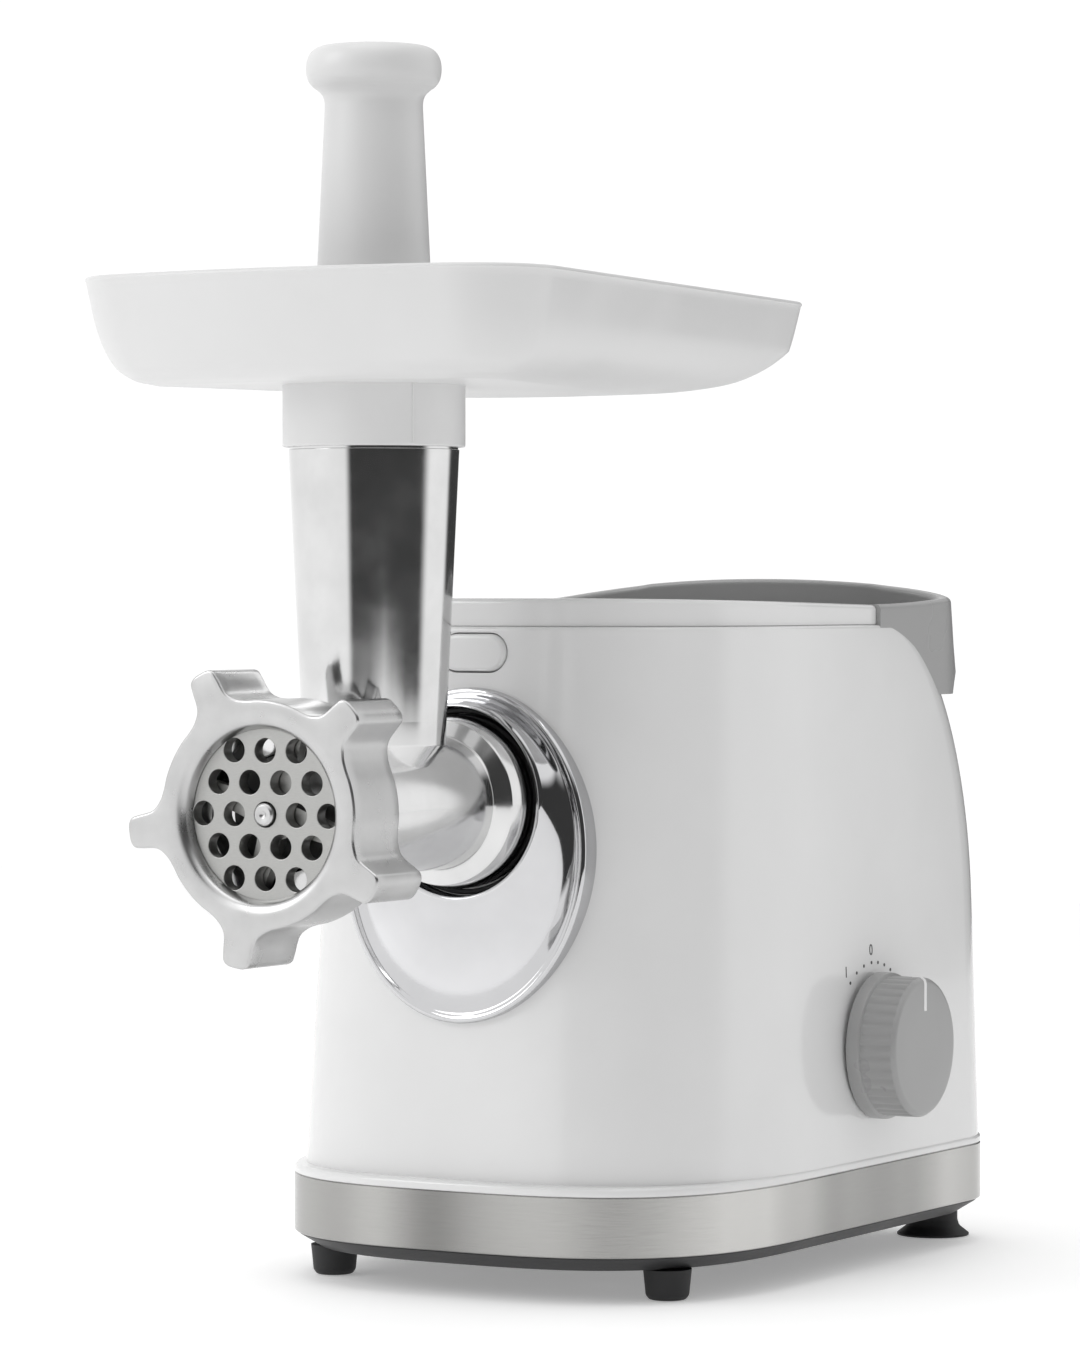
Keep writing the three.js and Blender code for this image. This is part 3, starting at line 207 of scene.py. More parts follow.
EVEN = (1, 1, 1)
MATERIALS = {
    "white_plastic": plastic("white_gloss", (0.76, 0.76, 0.76), 0.16, 0.03, 0.03, Coat_Weight=0.25),
    "soft_white_plastic": plastic("white_satin", (0.72, 0.72, 0.72), 0.36, 0.05, 0.08),
    "grey_plastic": plastic("grey_satin", (0.34, 0.34, 0.34), 0.32, 0.05, 0.1),
    "black_plastic": plastic("black_satin", (0.018, 0.018, 0.019), 0.42, 0.06, 0.2),
    "rubber": plastic("black_rubber", (0.014, 0.014, 0.015), 0.6, 0.08, 0.3, 700),
    "brushed_steel": brushed_steel(),
    "chrome": metal("chrome_plate", (0.6, 0.6, 0.61), 0.06, 0.02, EVEN, 30, 0.0),
    "cast_aluminium": metal("aluminium_polished", (0.7, 0.7, 0.7), 0.12, 0.03, EVEN, 60, 0.003),
    "gearbox_aluminium": metal("aluminium_cast", (0.62, 0.62, 0.63), 0.45, 0.08, EVEN, 500, 0.3),
    "blade_steel": metal("steel_ground", (0.42, 0.42, 0.41), 0.42, 0.05, (1, 1, 6), 500, 0.1),
    "machined_steel": metal("steel_turned", (0.55, 0.55, 0.56), 0.3, 0.06, (1, 8, 1), 300, 0.1),
    "gear_nylon": plastic("nylon", (0.72, 0.68, 0.55), 0.42, 0.05, 0.1),
    "copper": metal("copper_wire", (0.66, 0.32, 0.17), 0.35, 0.08, (1, 0.1, 6), 900, 0.6),
    "brass": metal("brass_turned", (0.70, 0.53, 0.24), 0.3, 0.06, (1, 6, 1), 300, 0.1),
    "laminate": metal("laminations", (0.30, 0.31, 0.33), 0.5, 0.08, (0.05, 4, 0.05), 700, 0.5),
    "carbon": plastic("carbon", (0.03, 0.03, 0.03), 0.55, 0.08, 0.3),
    "board": plastic("board_green", (0.03, 0.16, 0.08), 0.4, 0.06, 0.2),
}
RING_METAL = metal("aluminium_ring", (0.54, 0.54, 0.54), 0.3, 0.04, EVEN, 90, 0.008)
AUGER_METAL = metal("aluminium_auger", (0.3, 0.3, 0.3), 0.4, 0.05, EVEN, 200, 0.1)
PRINT_GREY = plastic("print_grey", (0.06, 0.06, 0.06), 0.5, 0.05, 0.05)
PRINT_WHITE = plastic("print_white", (0.8, 0.8, 0.8), 0.4, 0.05, 0.05)

SLOT_OF = {entry["node"]: entry["material_slot"] for entry in frame["record"]["subparts"]}
for node_name, node_object in frame["nodes"].items():
    node_object.data.materials.clear()
    node_object.data.materials.append(MATERIALS[SLOT_OF[node_name]])


# ---------------------------------------------------------------- mesh helpers
def loft(rings, first_cap=True, last_cap=True, closed=False):
    """Faces through rings of as many points each. Closed joins the last ring to the first."""
    count = len(rings[0])
    points = [point for ring in rings for point in ring]
    faces = []
    pairs = list(zip(range(len(rings) - 1), range(1, len(rings))))
    if closed:
        pairs.append((len(rings) - 1, 0))
    for low, high in pairs:
        for k in range(count):
            after = (k + 1) % count
            a, b = low * count, high * count
            faces.append((a + k, a + after, b + after, b + k))
    if first_cap and not closed:
        faces.append(tuple(reversed(range(count))))
    if last_cap and not closed:
        start = (len(rings) - 1) * count
        faces.append(tuple(range(start, start + count)))
    return points, faces


def sheet(rows):
    """An open surface through rows of as many points each."""
    count = len(rows[0])
    faces = []
    for r in range(len(rows) - 1):
        a, b = r * count, (r + 1) * count
        faces += [(a + k, a + k + 1, b + k + 1, b + k) for k in range(count - 1)]
    return [point for row in rows for point in row], faces


def quarter(steps, start=0):
    """A rounded edge's shares (inward, down), from its side (0, 1) to its top (1, 0)."""
    for k in range(start, steps + 1):
        angle = math.pi / 2 * k / steps
        yield 1 - math.cos(angle), 1 - math.sin(angle)


def rounded(corners, closed=False, steps=5):
    """A 2-D polyline of (a, b, radius) corners with each corner rounded."""
    result = []
    total = len(corners)
    for k, (a, b, radius) in enumerate(corners):
        if radius == 0 or (not closed and k in (0, total - 1)):
            result.append((a, b))
            continue
        here = Vector((a, b))
        before = Vector(corners[k - 1][:2]) - here
        after = Vector(corners[(k + 1) % total][:2]) - here
        angle = before.angle(after)
        reach = min(radius / math.tan(angle / 2), before.length * 0.49, after.length * 0.49)
        start = here + before.normalized() * reach
        end = here + after.normalized() * reach
        for step in range(steps + 1):
            t = step / steps
            point = start * (1 - t) ** 2 + here * 2 * t * (1 - t) + end * t**2
            result.append((point.x, point.y))
    return result


def turned(profile, axis, centre, sides=96, closed=False):
    """A surface of revolution. The profile's points are (radius, distance along the axis)."""
    rings = []
    for radius, along in profile:
        ring = []
        for k in range(sides):
            a = radius * math.cos(TAU * k / sides)
            b = radius * math.sin(TAU * k / sides)
            offset = {"x": (along, a, b), "y": (a, along, b), "z": (a, b, along)}[axis]
            ring.append(tuple(c + o for c, o in zip(centre, offset)))
        rings.append(ring)
    return loft(rings, closed=closed)


def smooth_through(points, steps=6):
    """Points on a Catmull-Rom curve through the given ones."""
    ends = [points[0], *points, points[-1]]
    result = []
    for k in range(len(points) - 1):
        p0, p1, p2, p3 = (Vector(p) for p in ends[k : k + 4])
        for step in range(steps):
            t = step / steps
            result.append(
                0.5
                * (
                    2 * p1
                    + (p2 - p0) * t
                    + (2 * p0 - 5 * p1 + 4 * p2 - p3) * t**2
                    + (3 * p1 - p0 - 3 * p2 + p3) * t**3
                )
            )
    result.append(Vector(points[-1]))
    return [tuple(point) for point in result]


def mesh_from(name, parts, outward=True):
    built = bmesh.new()
    for points, faces in parts:
        corners = [built.verts.new(place(point)) for point in points]
        for face in faces:
            built.faces.new([corners[k] for k in face])
    bmesh.ops.remove_doubles(built, verts=built.verts, dist=1e-6)
    bmesh.ops.recalc_face_normals(built, faces=built.faces)
    if outward:
        centre = sum((v.co for v in built.verts), Vector()) / len(built.verts)
        facing = 0
        for face in built.faces:
            facing += face.normal.dot(face.calc_center_median() - centre) * face.calc_area()
        if facing < 0:
            bmesh.ops.reverse_faces(built, faces=built.faces)
    mesh = bpy.data.meshes.new(name)
    built.to_mesh(mesh)
    built.free()
    return mesh


def loose_object(name, parts, outward=True):
    return linked(name, mesh_from(name, parts, outward))


def evaluated_mesh(item):
    """The mesh that the object's modifiers or curves make."""
    bpy.context.view_layer.update()
    evaluated = item.evaluated_get(bpy.context.evaluated_depsgraph_get())
    return bpy.data.meshes.new_from_object(evaluated)


def bake(item):
    """Replaces the object's mesh by what its modifiers make of it."""
    mesh = evaluated_mesh(item)
    item.modifiers.clear()
    item.data = mesh


def boolean(item, operation, parts):
    tool = loose_object("tool", parts, outward=False)
    step = item.modifiers.new("boolean", "BOOLEAN")
    step.operation = operation
    step.solver = "EXACT"
    step.object = tool
    bake(item)
    bpy.data.objects.remove(tool)


def thicken(item, thickness):
    step = item.modifiers.new("wall", "SOLIDIFY")
    step.thickness = thickness / 1000
    step.offset = -1
    step.use_even_offset = True
    bake(item)


def finish_piece(item, body, nodes, slot, material=None, sharp=32):
    item.data.materials.clear()
    item.data.materials.append(material or MATERIALS[slot])
    item.data.shade_smooth()
    item.data.set_sharp_from_angle(angle=math.radians(sharp))
    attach(item, body)
    if nodes:
        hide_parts(*nodes)
    return item


def piece(name, parts, body, nodes, slot, material=None, sharp=32):
    return finish_piece(loose_object(name, parts), body, nodes, slot, material, sharp)


# ---------------------------------------------------------------- the body's plan
NOSE_DEPTH = 100
NOSE_POWER = 3
NOSE_STEPS = 44
NOSE_EVENING = 0.15
REAR_CORNER = 32.0
BAND = {"half": 92.0, "front": -36.5, "rear": 222.0}
BODY_HALF = 91.7
BODY_FRONT = -30.0
BODY_REAR = 221.0
BODY_TOP = 230.0
BAND_TOP = 36.7
SIDE_TAPER = 0.034
FRONT_TAPER = 0.074
SHOULDER_LOW = 130.0
SHOULDER_DEPTH = 63.0
SEAM = 204.0
WALL_LOW = 37.0
BODY_WALL = 2.6
BASE_WALL = 2.2


def plan(size, z):
    """The outline at height z, or z(y): a bowed front, straight sides, rounded rear corners."""
    half, front, rear = size["half"], size["front"], size["rear"]
    right = []
    for k in range(NOSE_STEPS + 1):
        share = k / NOSE_STEPS
        angle = math.pi / 2 * (share - NOSE_EVENING * math.sin(TAU * share) / math.pi)
        reach = math.sin(angle) ** (2 / NOSE_POWER)
        back = 1 - math.cos(angle) ** (2 / NOSE_POWER) if share < 1 else 1
        right.append((half * reach, front + NOSE_DEPTH * back))
    for inward, down in quarter(12):
        right.append((half - REAR_CORNER * inward, rear - REAR_CORNER * down))
    left = [(-x, y) for x, y in reversed(right[1:])]
    heights = z if callable(z) else (lambda y: z)
    return [(x, y, heights(y)) for x, y in right + left]


def inset(size, by):
    return {"half": size["half"] - by, "front": size["front"] + by, "rear": size["rear"] - by}


def wall_at(z, by=0.0):
    rise = z - BAND_TOP
    size = {
        "half": BODY_HALF - SIDE_TAPER * rise,
        "front": BODY_FRONT + FRONT_TAPER * rise,
        "rear": BODY_REAR,
    }
    return inset(size, by)


def wall_rings():
    """The wall's outlines from the band up: straight, then the shoulder, then the top edge."""
    rings = []
    for k in range(6):
        z = WALL_LOW + (SHOULDER_LOW - WALL_LOW) * k / 6
        rings.append(plan(wall_at(z), z))
    steps = 26
    edge = 1.3
    for k in range(steps):
        climb = BODY_TOP - edge - SHOULDER_LOW
        z = SHOULDER_LOW + climb * math.sin(math.pi / 2 * k / (steps - 1))
        rings.append(plan(shoulder_size(z), z))
    for inward, down in quarter(4, 1):
        z = BODY_TOP - edge * down
        rings.append(plan(inset(shoulder_size(z), edge * inward), z))
    return rings


def shoulder_size(z):
    """The wall's size where the rear rolls over in a quarter of an ellipse."""
    size = wall_at(z)
    share = (z - SHOULDER_LOW) / (BODY_TOP - SHOULDER_LOW)
    size["rear"] = BODY_REAR - SHOULDER_DEPTH + SHOULDER_DEPTH * math.sqrt(max(0, 1 - share**2))
    return size


def lip_parts():
    """The ledge at the wall's foot, which stands out to the band."""
    low, ledge, edge = 36.75, 3.25, 1.4
    rings = [plan(inset(BAND, 6), low), plan(inset(BAND, 0.3), low), plan(BAND, low + 0.3)]
    for inward, down in quarter(5):
        rings.append(plan(inset(BAND, edge * inward), low + ledge - edge * down))
    rings.append(plan(inset(BAND, 8), low + ledge + 0.15))
    return loft(rings, closed=True)


def cut_at(item, y, keep_front=True, cap=False):
    """Keeps the part in front of the plane at y, or behind it. Cap closes the cut."""
    cut = bmesh.new()
    cut.from_mesh(item.data)
    found = bmesh.ops.bisect_plane(
        cut,
        geom=cut.verts[:] + cut.edges[:] + cut.faces[:],
        plane_co=place((0, y, 0)),
        plane_no=(0, 1, 0),
        clear_outer=keep_front,
        clear_inner=not keep_front,
    )
    if cap:
        edges = [g for g in found["geom_cut"] if isinstance(g, bmesh.types.BMEdge)]
        bmesh.ops.contextual_create(cut, geom=edges)
    cut.to_mesh(item.data)
    cut.free()


def joined(name, items):
    parts = bmesh.new()
    for item in items:
        parts.from_mesh(item.data)
    mesh = bpy.data.meshes.new(name)
    parts.to_mesh(mesh)
    parts.free()
    for item in items:
        bpy.data.objects.remove(item)
    return linked(name, mesh)


def oval(width, height, y, grow=0.0, centre=(0.0, 0.0), count=16):
    """A stadium outline facing the front at y, round a centre (x, z)."""
    radius = height / 2 + grow
    reach = width / 2 - height / 2
    ring = []
    for side, start in ((1, -math.pi / 2), (-1, math.pi / 2)):
        for k in range(count + 1):
            angle = start + math.pi * k / count
            x = centre[0] + side * reach + radius * math.cos(angle)
            ring.append((x, y, centre[1] + radius * math.sin(angle)))
    return ring


BUTTON = {"width": 26.0, "height": 13.0, "z": 221.0}
BUTTON_PLAY = 0.45
INLET = (46.0, 62.0)
INLET_HOLE = 6.1
VENT = {"width": 68, "height": 3.5, "lowest": 113.75, "pitch": 8, "count": 6}


def body_half(name, front, node):
    """The wall and its lip on one side of the seam, with that side's openings."""
    seam = SEAM if front else SEAM + GAP
    wall = loose_object(name, [loft(wall_rings(), first_cap=False)])
    cut_at(wall, seam, front)
    thicken(wall, BODY_WALL)
    lip = loose_object("lip", [lip_parts()])
    cut_at(lip, seam, front)
    if front:
        centre = (0, BUTTON["z"])
        hole = [oval(BUTTON["width"], BUTTON["height"], y, BUTTON_PLAY, centre) for y in (-40, -5)]
        boolean(wall, "DIFFERENCE", [loft(hole)])
    else:
        for k in range(VENT["count"]):
            centre = (0, VENT["lowest"] + VENT["pitch"] * k)
            slot = [oval(VENT["width"], VENT["height"], y, 0, centre, 6) for y in (180, 240)]
            boolean(wall, "DIFFERENCE", [loft(slot)])
        bore = turned([(INLET_HOLE, 200), (INLET_HOLE, 240)], "y", (INLET[0], 0, INLET[1]), 48)
        boolean(wall, "DIFFERENCE", [bore])
    finish_piece(joined(name + "_piece", [wall, lip]), "housing", [node], "white_plastic")


body_half("body_walls", True, "body_shell")
body_half("rear_walls", False, "rear_cover")


# ---------------------------------------------------------------- top cover and carry handle
COVER_END = 127.0
COVER_FRONT_TOP = 239.9
COVER_REAR_TOP = 237.2


def cover_top(y):
    """The cover's top slopes down a little to the rear."""
    start = wall_at(BODY_TOP)["front"]
    return COVER_FRONT_TOP + (COVER_REAR_TOP - COVER_FRONT_TOP) * (y - start) / (COVER_END - start)


def top_cover():
    size = wall_at(BODY_TOP, 1.8)
    size["rear"] = COVER_END + 60
    edge = 2.0
    rings = [plan(inset(size, 0.3), 230.05), plan(size, 230.35)]
    for inward, down in quarter(6):
        rings.append(plan(inset(size, edge * inward), lambda y, d=edge * down: cover_top(y) - d))
    cover = loose_object("cover", [loft(rings)])
    cut_at(cover, COVER_END, cap=True)
    finish_piece(cover, "housing", ["top_cover"], "white_plastic")


top_cover()

HANDLE_WALL = 5.5
HANDLE_START = COVER_END + GAP
HANDLE_TURN = 183.0


def handle_rear(z):
    """The hoop's rear face leans, and turns in again low down."""
    return 213.0 - 0.43 * max(0.0, z - 212.0) - 0.75 * max(0.0, 212.0 - z)


def rim_height(x, y):
    """The rim climbs a little along the sides and arches over the rear."""
    half = wall_at(BODY_TOP)["half"]
    if y <= HANDLE_TURN:
        share = max(0.0, (y - HANDLE_START) / (HANDLE_TURN - HANDLE_START))
        return 237.4 + 1.9 * share**2
    return 239.3 + 7.4 * max(0.0, 1 - (x / half) ** 2) ** 0.8


def handle_line(top, by):
    """The hoop's line round the rear at an inset. top gives z from the rim's height there."""
    half = wall_at(BODY_TOP)["half"]
    corner = 30.0 - by * 0.6
    line = []
    for k in range(19):
        y = HANDLE_START + (HANDLE_TURN - HANDLE_START) * k / 18
        line.append((half - by, y, top(rim_height(half, y))))
    for k in range(1, 15):
        angle = math.pi / 2 * k / 14
        x = half - by - corner * (1 - math.cos(angle))
        z = top(rim_height(x + by, HANDLE_TURN + 1))
        y = HANDLE_TURN + (handle_rear(z) - by - HANDLE_TURN) * math.sin(angle)
        line.append((x, y, z))
    middle_x = line[-1][0]
    for k in range(1, 9):
        x = middle_x * (1 - k / 8)
        z = top(rim_height(x, HANDLE_TURN + 1))
        line.append((x, handle_rear(z) - by, z))
    return line + [(-x, y, z) for x, y, z in reversed(line[:-1])]


def carry_handle():
    edge = 2.0
    section = []

    def level(z, by):
        section.append(handle_line(lambda rim: min(z, rim - edge), by))

    def rounding(down, by):
        section.append(handle_line(lambda rim: rim - edge * down, by))

    for z in (204.0, 208.0, 212.0, 222.0, 232.0):
        level(z, 0.0)
    turn = list(quarter(5))
    for inward, down in turn:
        rounding(down, edge * inward)
    for inward, down in reversed(turn):
        rounding(down, HANDLE_WALL - edge * inward)
    for z in (232.0, 222.0, 212.0, 206.0):
        level(z, HANDLE_WALL)
    points, faces = sheet(section)
    count, rows = len(section[0]), len(section)
    faces.append(tuple(r * count for r in range(rows)))
    faces.append(tuple(reversed([r * count + count - 1 for r in range(rows)])))
    return [(points, faces), handle_floor()]


def handle_floor():
    """The well's floor follows the body's roof and rolled shoulder a little above it."""
    rows = []
    for k in range(41):
        y = HANDLE_START + (204.5 - HANDLE_START) * k / 40
        share = max(0.0, (y - (BODY_REAR - SHOULDER_DEPTH)) / SHOULDER_DEPTH)
        z = SHOULDER_LOW + (BODY_TOP - SHOULDER_LOW) * math.sqrt(max(0.0, 1 - share**2)) + 2.9
        half = 81.0
        if y > 176:
            half -= 31.0 * (1 - math.sqrt(max(0.0, 1 - ((y - 176) / 31.0) ** 2)))
        rows.append([(half * (2 * c / 12 - 1), y, z) for c in range(13)])
    return sheet(rows)


piece("handle_hoop", carry_handle(), "housing", ["carry_handle"], "grey_plastic", sharp=50)


# ---------------------------------------------------------------- band, base and feet
def trim_band():
    wall, edge = 1.2, 0.35
    low, high = 16.0, BAND_TOP
    rings = [
        plan(inset(BAND, wall), low),
        plan(inset(BAND, edge), low),
        plan(BAND, low + edge),
        plan(BAND, high - edge),
        plan(inset(BAND, edge), high),
        plan(inset(BAND, wall), high),
    ]
    return loft(rings, closed=True)


piece("band_steel", [trim_band()], "housing", ["trim_band"], "brushed_steel", sharp=25)

SCREW_SPOTS = ((-32, 20), (32, 20), (-50, 190), (50, 190))
SCREW_BORE = 4.2
BASE_SLOT = {"radius": 2.5, "y": 185, "reach": 17.5, "pitch": 16}


def base_slot(x):
    """A cutter for one long vent slot, front to back."""
    rings = [[], []]
    for k in range(24):
        side = 1 if k < 12 else -1
        across = x + BASE_SLOT["radius"] * math.cos(TAU * k / 24)
        end = BASE_SLOT["y"] + BASE_SLOT["reach"] * side
        y = end + BASE_SLOT["radius"] * math.sin(TAU * k / 24)
        for ring, z in zip(rings, (5, 20)):
            ring.append((across, y, z))
    return loft(rings)


def base_plate():
    rings = [
        plan(inset(BAND, 8.0), 10.8),
        plan(inset(BAND, 7.0), 10.95),
        plan(inset(BAND, 6.3), 11.4),
        plan(inset(BAND, 1.2), 15.2),
        plan(inset(BAND, 0.8), 15.7),
        plan(inset(BAND, 1.5), 15.8),
        plan(inset(BAND, 1.5), 36.2),
    ]
    base = loose_object("base_hull", [loft(rings, last_cap=False)])
    thicken(base, BASE_WALL)
    for k in (-1, 0, 1):
        boolean(base, "DIFFERENCE", [base_slot(BASE_SLOT["pitch"] * k)])
    bore = SCREW_BORE
    boss = [(bore, 8.4, 0.3), (6, 8.4, 0.6), (6, 26, 0), (bore, 26, 0), (bore, 12.9, 0)]
    bosses = []
    for x, y in SCREW_SPOTS:
        boolean(base, "DIFFERENCE", [turned([(bore, 5), (bore, 14)], "z", (x, y, 0), 32)])
        bosses.append(turned(rounded(boss, True, 3), "z", (x, y, 0), 32, closed=True))
    finish_piece(
        joined("base_black", [base, loose_object("bosses", bosses, outward=False)]),
        "housing",
        ["base_plate"],
        "black_plastic",
        sharp=28,
    )


base_plate()

FOOT_X = 67.4
CUP_Y = 207.6
for side, x in (("left", -FOOT_X), ("right", FOOT_X)):
    post = rounded([(0.4, 0, 0), (6.4, 0, 1.4), (7.5, 1.6, 1.5), (8.4, 10.5, 0), (0.4, 10.5, 0)])
    name = "front_foot_" + side
    piece("foot_" + side, [turned(post, "z", (x, 0, 0), 64)], "housing", [name], "rubber")
    cup = rounded(
        [
            (0.4, 2.6, 0), (5, 2.6, 1.2), (12.0, 0, 0.2), (13.5, 0, 0.3), (13.5, 0.8, 0.4),
            (9.9, 3.6, 2.5), (9.2, 6, 1.5), (9.2, 10.5, 0), (0.4, 10.5, 0),
        ]
    )
    name = "suction_foot_" + side
    piece("cup_" + side, [turned(cup, "z", (x, CUP_Y, 0), 72)], "housing", [name], "rubber")


# ---------------------------------------------------------------- flange and seal
FLANGE = {"half_width": 48.3, "half_height": 57.8, "z": 151.3, "proud": 2.6, "edge": 1.4}
GROOVE = {"outer": 2.4, "floor": 3.0, "inner": 3.8}
COLLAR = {"bore": 32.5, "lip": 35.0, "front": -30.0}
FLANGE_SIDES = 128


def flange_ring(share, rim_inset, push):
    """A ring of the bell, from the oval rim on the wall (share 0) to the collar's lip (1)."""
    ring = []
    for k in range(FLANGE_SIDES):
        angle = TAU * k / FLANGE_SIDES
        oval_x = (FLANGE["half_width"] - rim_inset) * math.cos(angle)
        oval_z = FLANGE["z"] + (FLANGE["half_height"] - rim_inset) * math.sin(angle)
        lip_x = COLLAR["lip"] * math.cos(angle)
        lip_z = HEAD_Z + COLLAR["lip"] * math.sin(angle)
        x = oval_x + (lip_x - oval_x) * share
        z = oval_z + (lip_z - oval_z) * share
        rim_y = wall_at(z)["front"] - FLANGE["proud"] + push
        ring.append((x, rim_y + (COLLAR["front"] - rim_y) * share**2, z))
    return ring


def collar_ring(radius, y):
    angles = [TAU * k / FLANGE_SIDES for k in range(FLANGE_SIDES)]
    return [(radius * math.cos(a), y, HEAD_Z + radius * math.sin(a)) for a in angles]


def chrome_flange():
    edge, bore = FLANGE["edge"], COLLAR["bore"]
    rings = [flange_ring(0, 0, 11), flange_ring(0, 0, edge)]
    for inward, down in quarter(5, 1):
        rings.append(flange_ring(0, edge * inward, edge * down))
    rings.append(flange_ring(0, GROOVE["outer"], 0.1))
    rings.append(flange_ring(0, GROOVE["floor"], 0.9))
    rings.append(flange_ring(0, GROOVE["inner"], 1.0))
    for k in range(1, 29):
        rings.append(flange_ring(k / 28, GROOVE["inner"], 1 - k / 28))
    for radius, y in ((34.0, -30.5), (33.2, -30.45), (32.6, -29.9), (bore, -29.0), (bore, -17.0)):
        rings.append(collar_ring(radius, y))
    return [loft(rings, first_cap=False, last_cap=False)]


piece("flange_bell", chrome_flange(), "housing", ["chrome_flange"], "chrome", sharp=60)
seal = rounded([(30.35, -17, 0.2), (30.35, -24, 0.7), (32.2, -24, 0.7), (32.2, -17, 0.2)], True)
seal_ring = turned(seal, "y", (0, 0, HEAD_Z), 96, closed=True)
piece("seal_ring", [seal_ring], "housing", ["collar_seal"], "rubber")

button_rings = []
for inward, y in ((1.6, -17.86), (0.9, -17.75), (0.3, -17.3), (0.0, -16.5), (0.0, -7.3)):
    button_rings.append(oval(BUTTON["width"], BUTTON["height"], y, -inward, (0, BUTTON["z"])))
piece("button_cap", [loft(button_rings)], "button", ["release_button"], "white_plastic")


def button_spring():
    """A wound wire spring in the node's box."""
    low, high = ((Vector(corner) - ORIGIN) * 1000 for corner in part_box("button_spring"))
    wire, turns, steps = 0.5, 6, 144
    coil = (high.x - low.x) / 2 - wire - 0.1
    centre = (low + high) / 2
    rings = []
    for step in range(steps + 1):
        share = step / steps
        angle = TAU * turns * share
        y = low.y + wire + (high.y - low.y - 2 * wire) * share
        out = Vector((math.cos(angle), 0, math.sin(angle)))
        middle_point = Vector((centre.x, y, centre.z)) + out * coil
        ring = []
        for k in range(8):
            turn = TAU * k / 8
            beside = Vector((0, wire * math.sin(turn), 0))
            ring.append(tuple(middle_point + out * wire * math.cos(turn) + beside))
        rings.append(ring)
    nodes = ["button_spring"]
    spring = piece("spring_coil", [loft(rings)], "housing", nodes, "machined_steel", sharp=60)
    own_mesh(spring)


button_spring()


# ---------------------------------------------------------------- grinder head
def chute_radius(z):
    """The chute widens a little towards its top."""
    return 24.3 + 0.0475 * (z - 199)


def grinder_head():
    casting = rounded(
        [
            (0.5, -142.7, 0), (32, -142.7, 0.6), (32, -127, 0.8), (23.4, -124, 1.5),
            (22.8, -121, 3), (22.8, -41.2, 1.2), (28.4, -38.6, 1.0), (30, -31, 4),
            (30, -7.3, 0.5), (0.5, -7.3, 0),
        ]
    )
    bores = [
        (0.5, -144), (28, -144), (28, -137.1), (19.6, -136.1), (19.6, -39), (8.3, -39),
        (8.3, -32), (25, -32), (25, -6), (0.5, -6),
    ]
    chute = rounded(
        [
            (0.5, 182, 0), (17.5, 182, 0), (24.0, 191, 1), (24.3, 199, 1),
            (chute_radius(289.5), 289.5, 0.3),
            (28.2, 289.6, 0), (28.2, 303, 0.8), (0.5, 303, 0),
        ]
    )
    throat = [(0.5, 171), (14, 171), (14.5, 181), (19.6, 192), (chute_radius(199) - 2.6, 200)]
    throat += [(chute_radius(304) - 2.9, 304), (0.5, 304)]
    head = loose_object("head", [turned(casting, "y", (0, 0, HEAD_Z), 128)])
    boolean(head, "UNION", [turned(chute, "z", (0, CHUTE_Y, 0), 128)])
    boolean(head, "DIFFERENCE", [turned(bores, "y", (0, 0, HEAD_Z), 128)])
    boolean(head, "DIFFERENCE", [turned(throat, "z", (0, CHUTE_Y, 0), 128)])
    finish_piece(head, "head", ["grinder_head"], "cast_aluminium")


grinder_head()

RING = {"front": -153.0, "rear": -125.0, "radius": 37.4, "tip": 50.7, "lugs": 5, "turn": 116}


def ring_outline():
    """The nut's outline (x, z from its axis), with round lugs on a round body."""
    outline = []
    for lug in range(RING["lugs"]):
        centre = math.radians(RING["turn"]) + TAU * lug / RING["lugs"]
        following = centre + TAU / RING["lugs"]
        flank = [
            (RING["radius"] + 0.9, -0.24), (RING["radius"] + 3.6, -0.155),
            (RING["tip"] - 4, -0.118), (RING["tip"] - 1.4, -0.1),
            (RING["tip"] - 0.2, -0.06), (RING["tip"], 0), (RING["tip"] - 0.2, 0.06),
            (RING["tip"] - 1.4, 0.1), (RING["tip"] - 4, 0.118),
            (RING["radius"] + 3.6, 0.155), (RING["radius"] + 0.9, 0.24),
        ]
        outline += [(radius, centre + turn) for radius, turn in flank]
        start, end = centre + 0.34, following - 0.34
        outline += [(RING["radius"], start + (end - start) * k / 5) for k in range(6)]
    flat = [(r * math.cos(a), r * math.sin(a)) for r, a in outline]
    return smooth_through([*flat, flat[0]], 5)[:-1]


def ring_nut():
    outline = [Vector(point) for point in ring_outline()]
    count = len(outline)
    normals = []
    for k in range(count):
        along = outline[(k + 1) % count] - outline[k - 1]
        normals.append(Vector((along.y, -along.x)).normalized())

    def outer(y, by):
        return [(p.x - n.x * by, y, HEAD_Z + p.y - n.y * by) for p, n in zip(outline, normals)]

    def inner(radius, y):
        return [(radius * p.x / p.length, y, HEAD_Z + radius * p.y / p.length) for p in outline]

    front_edge, rear_edge = 0.9, 1.5
    rings = []
    for inward, down in quarter(4):
        rings.append(outer(RING["front"] + front_edge * inward, front_edge * down))
    rings += [outer(y, 0.0) for y in (-148, -142, -136, -130)]
    for inward, down in quarter(4):
        rings.append(outer(RING["rear"] - rear_edge * down, rear_edge * inward))
    rings += [inner(32.9, -125.0), inner(32.3, -125.6), inner(32.3, -142.4), inner(31.3, -142.4)]
    rings += [inner(31.3, -148.3), inner(27.8, -148.3), inner(28.7, -150.9), inner(29.5, -152.0)]
    rings += [inner(30.6, -152.6), inner(32.2, -152.9), inner(34.2, -153.0)]
    return loft(rings, closed=True)


piece("ring_casting", [ring_nut()], "ring", ["ring_nut"], "cast_aluminium", RING_METAL, sharp=40)


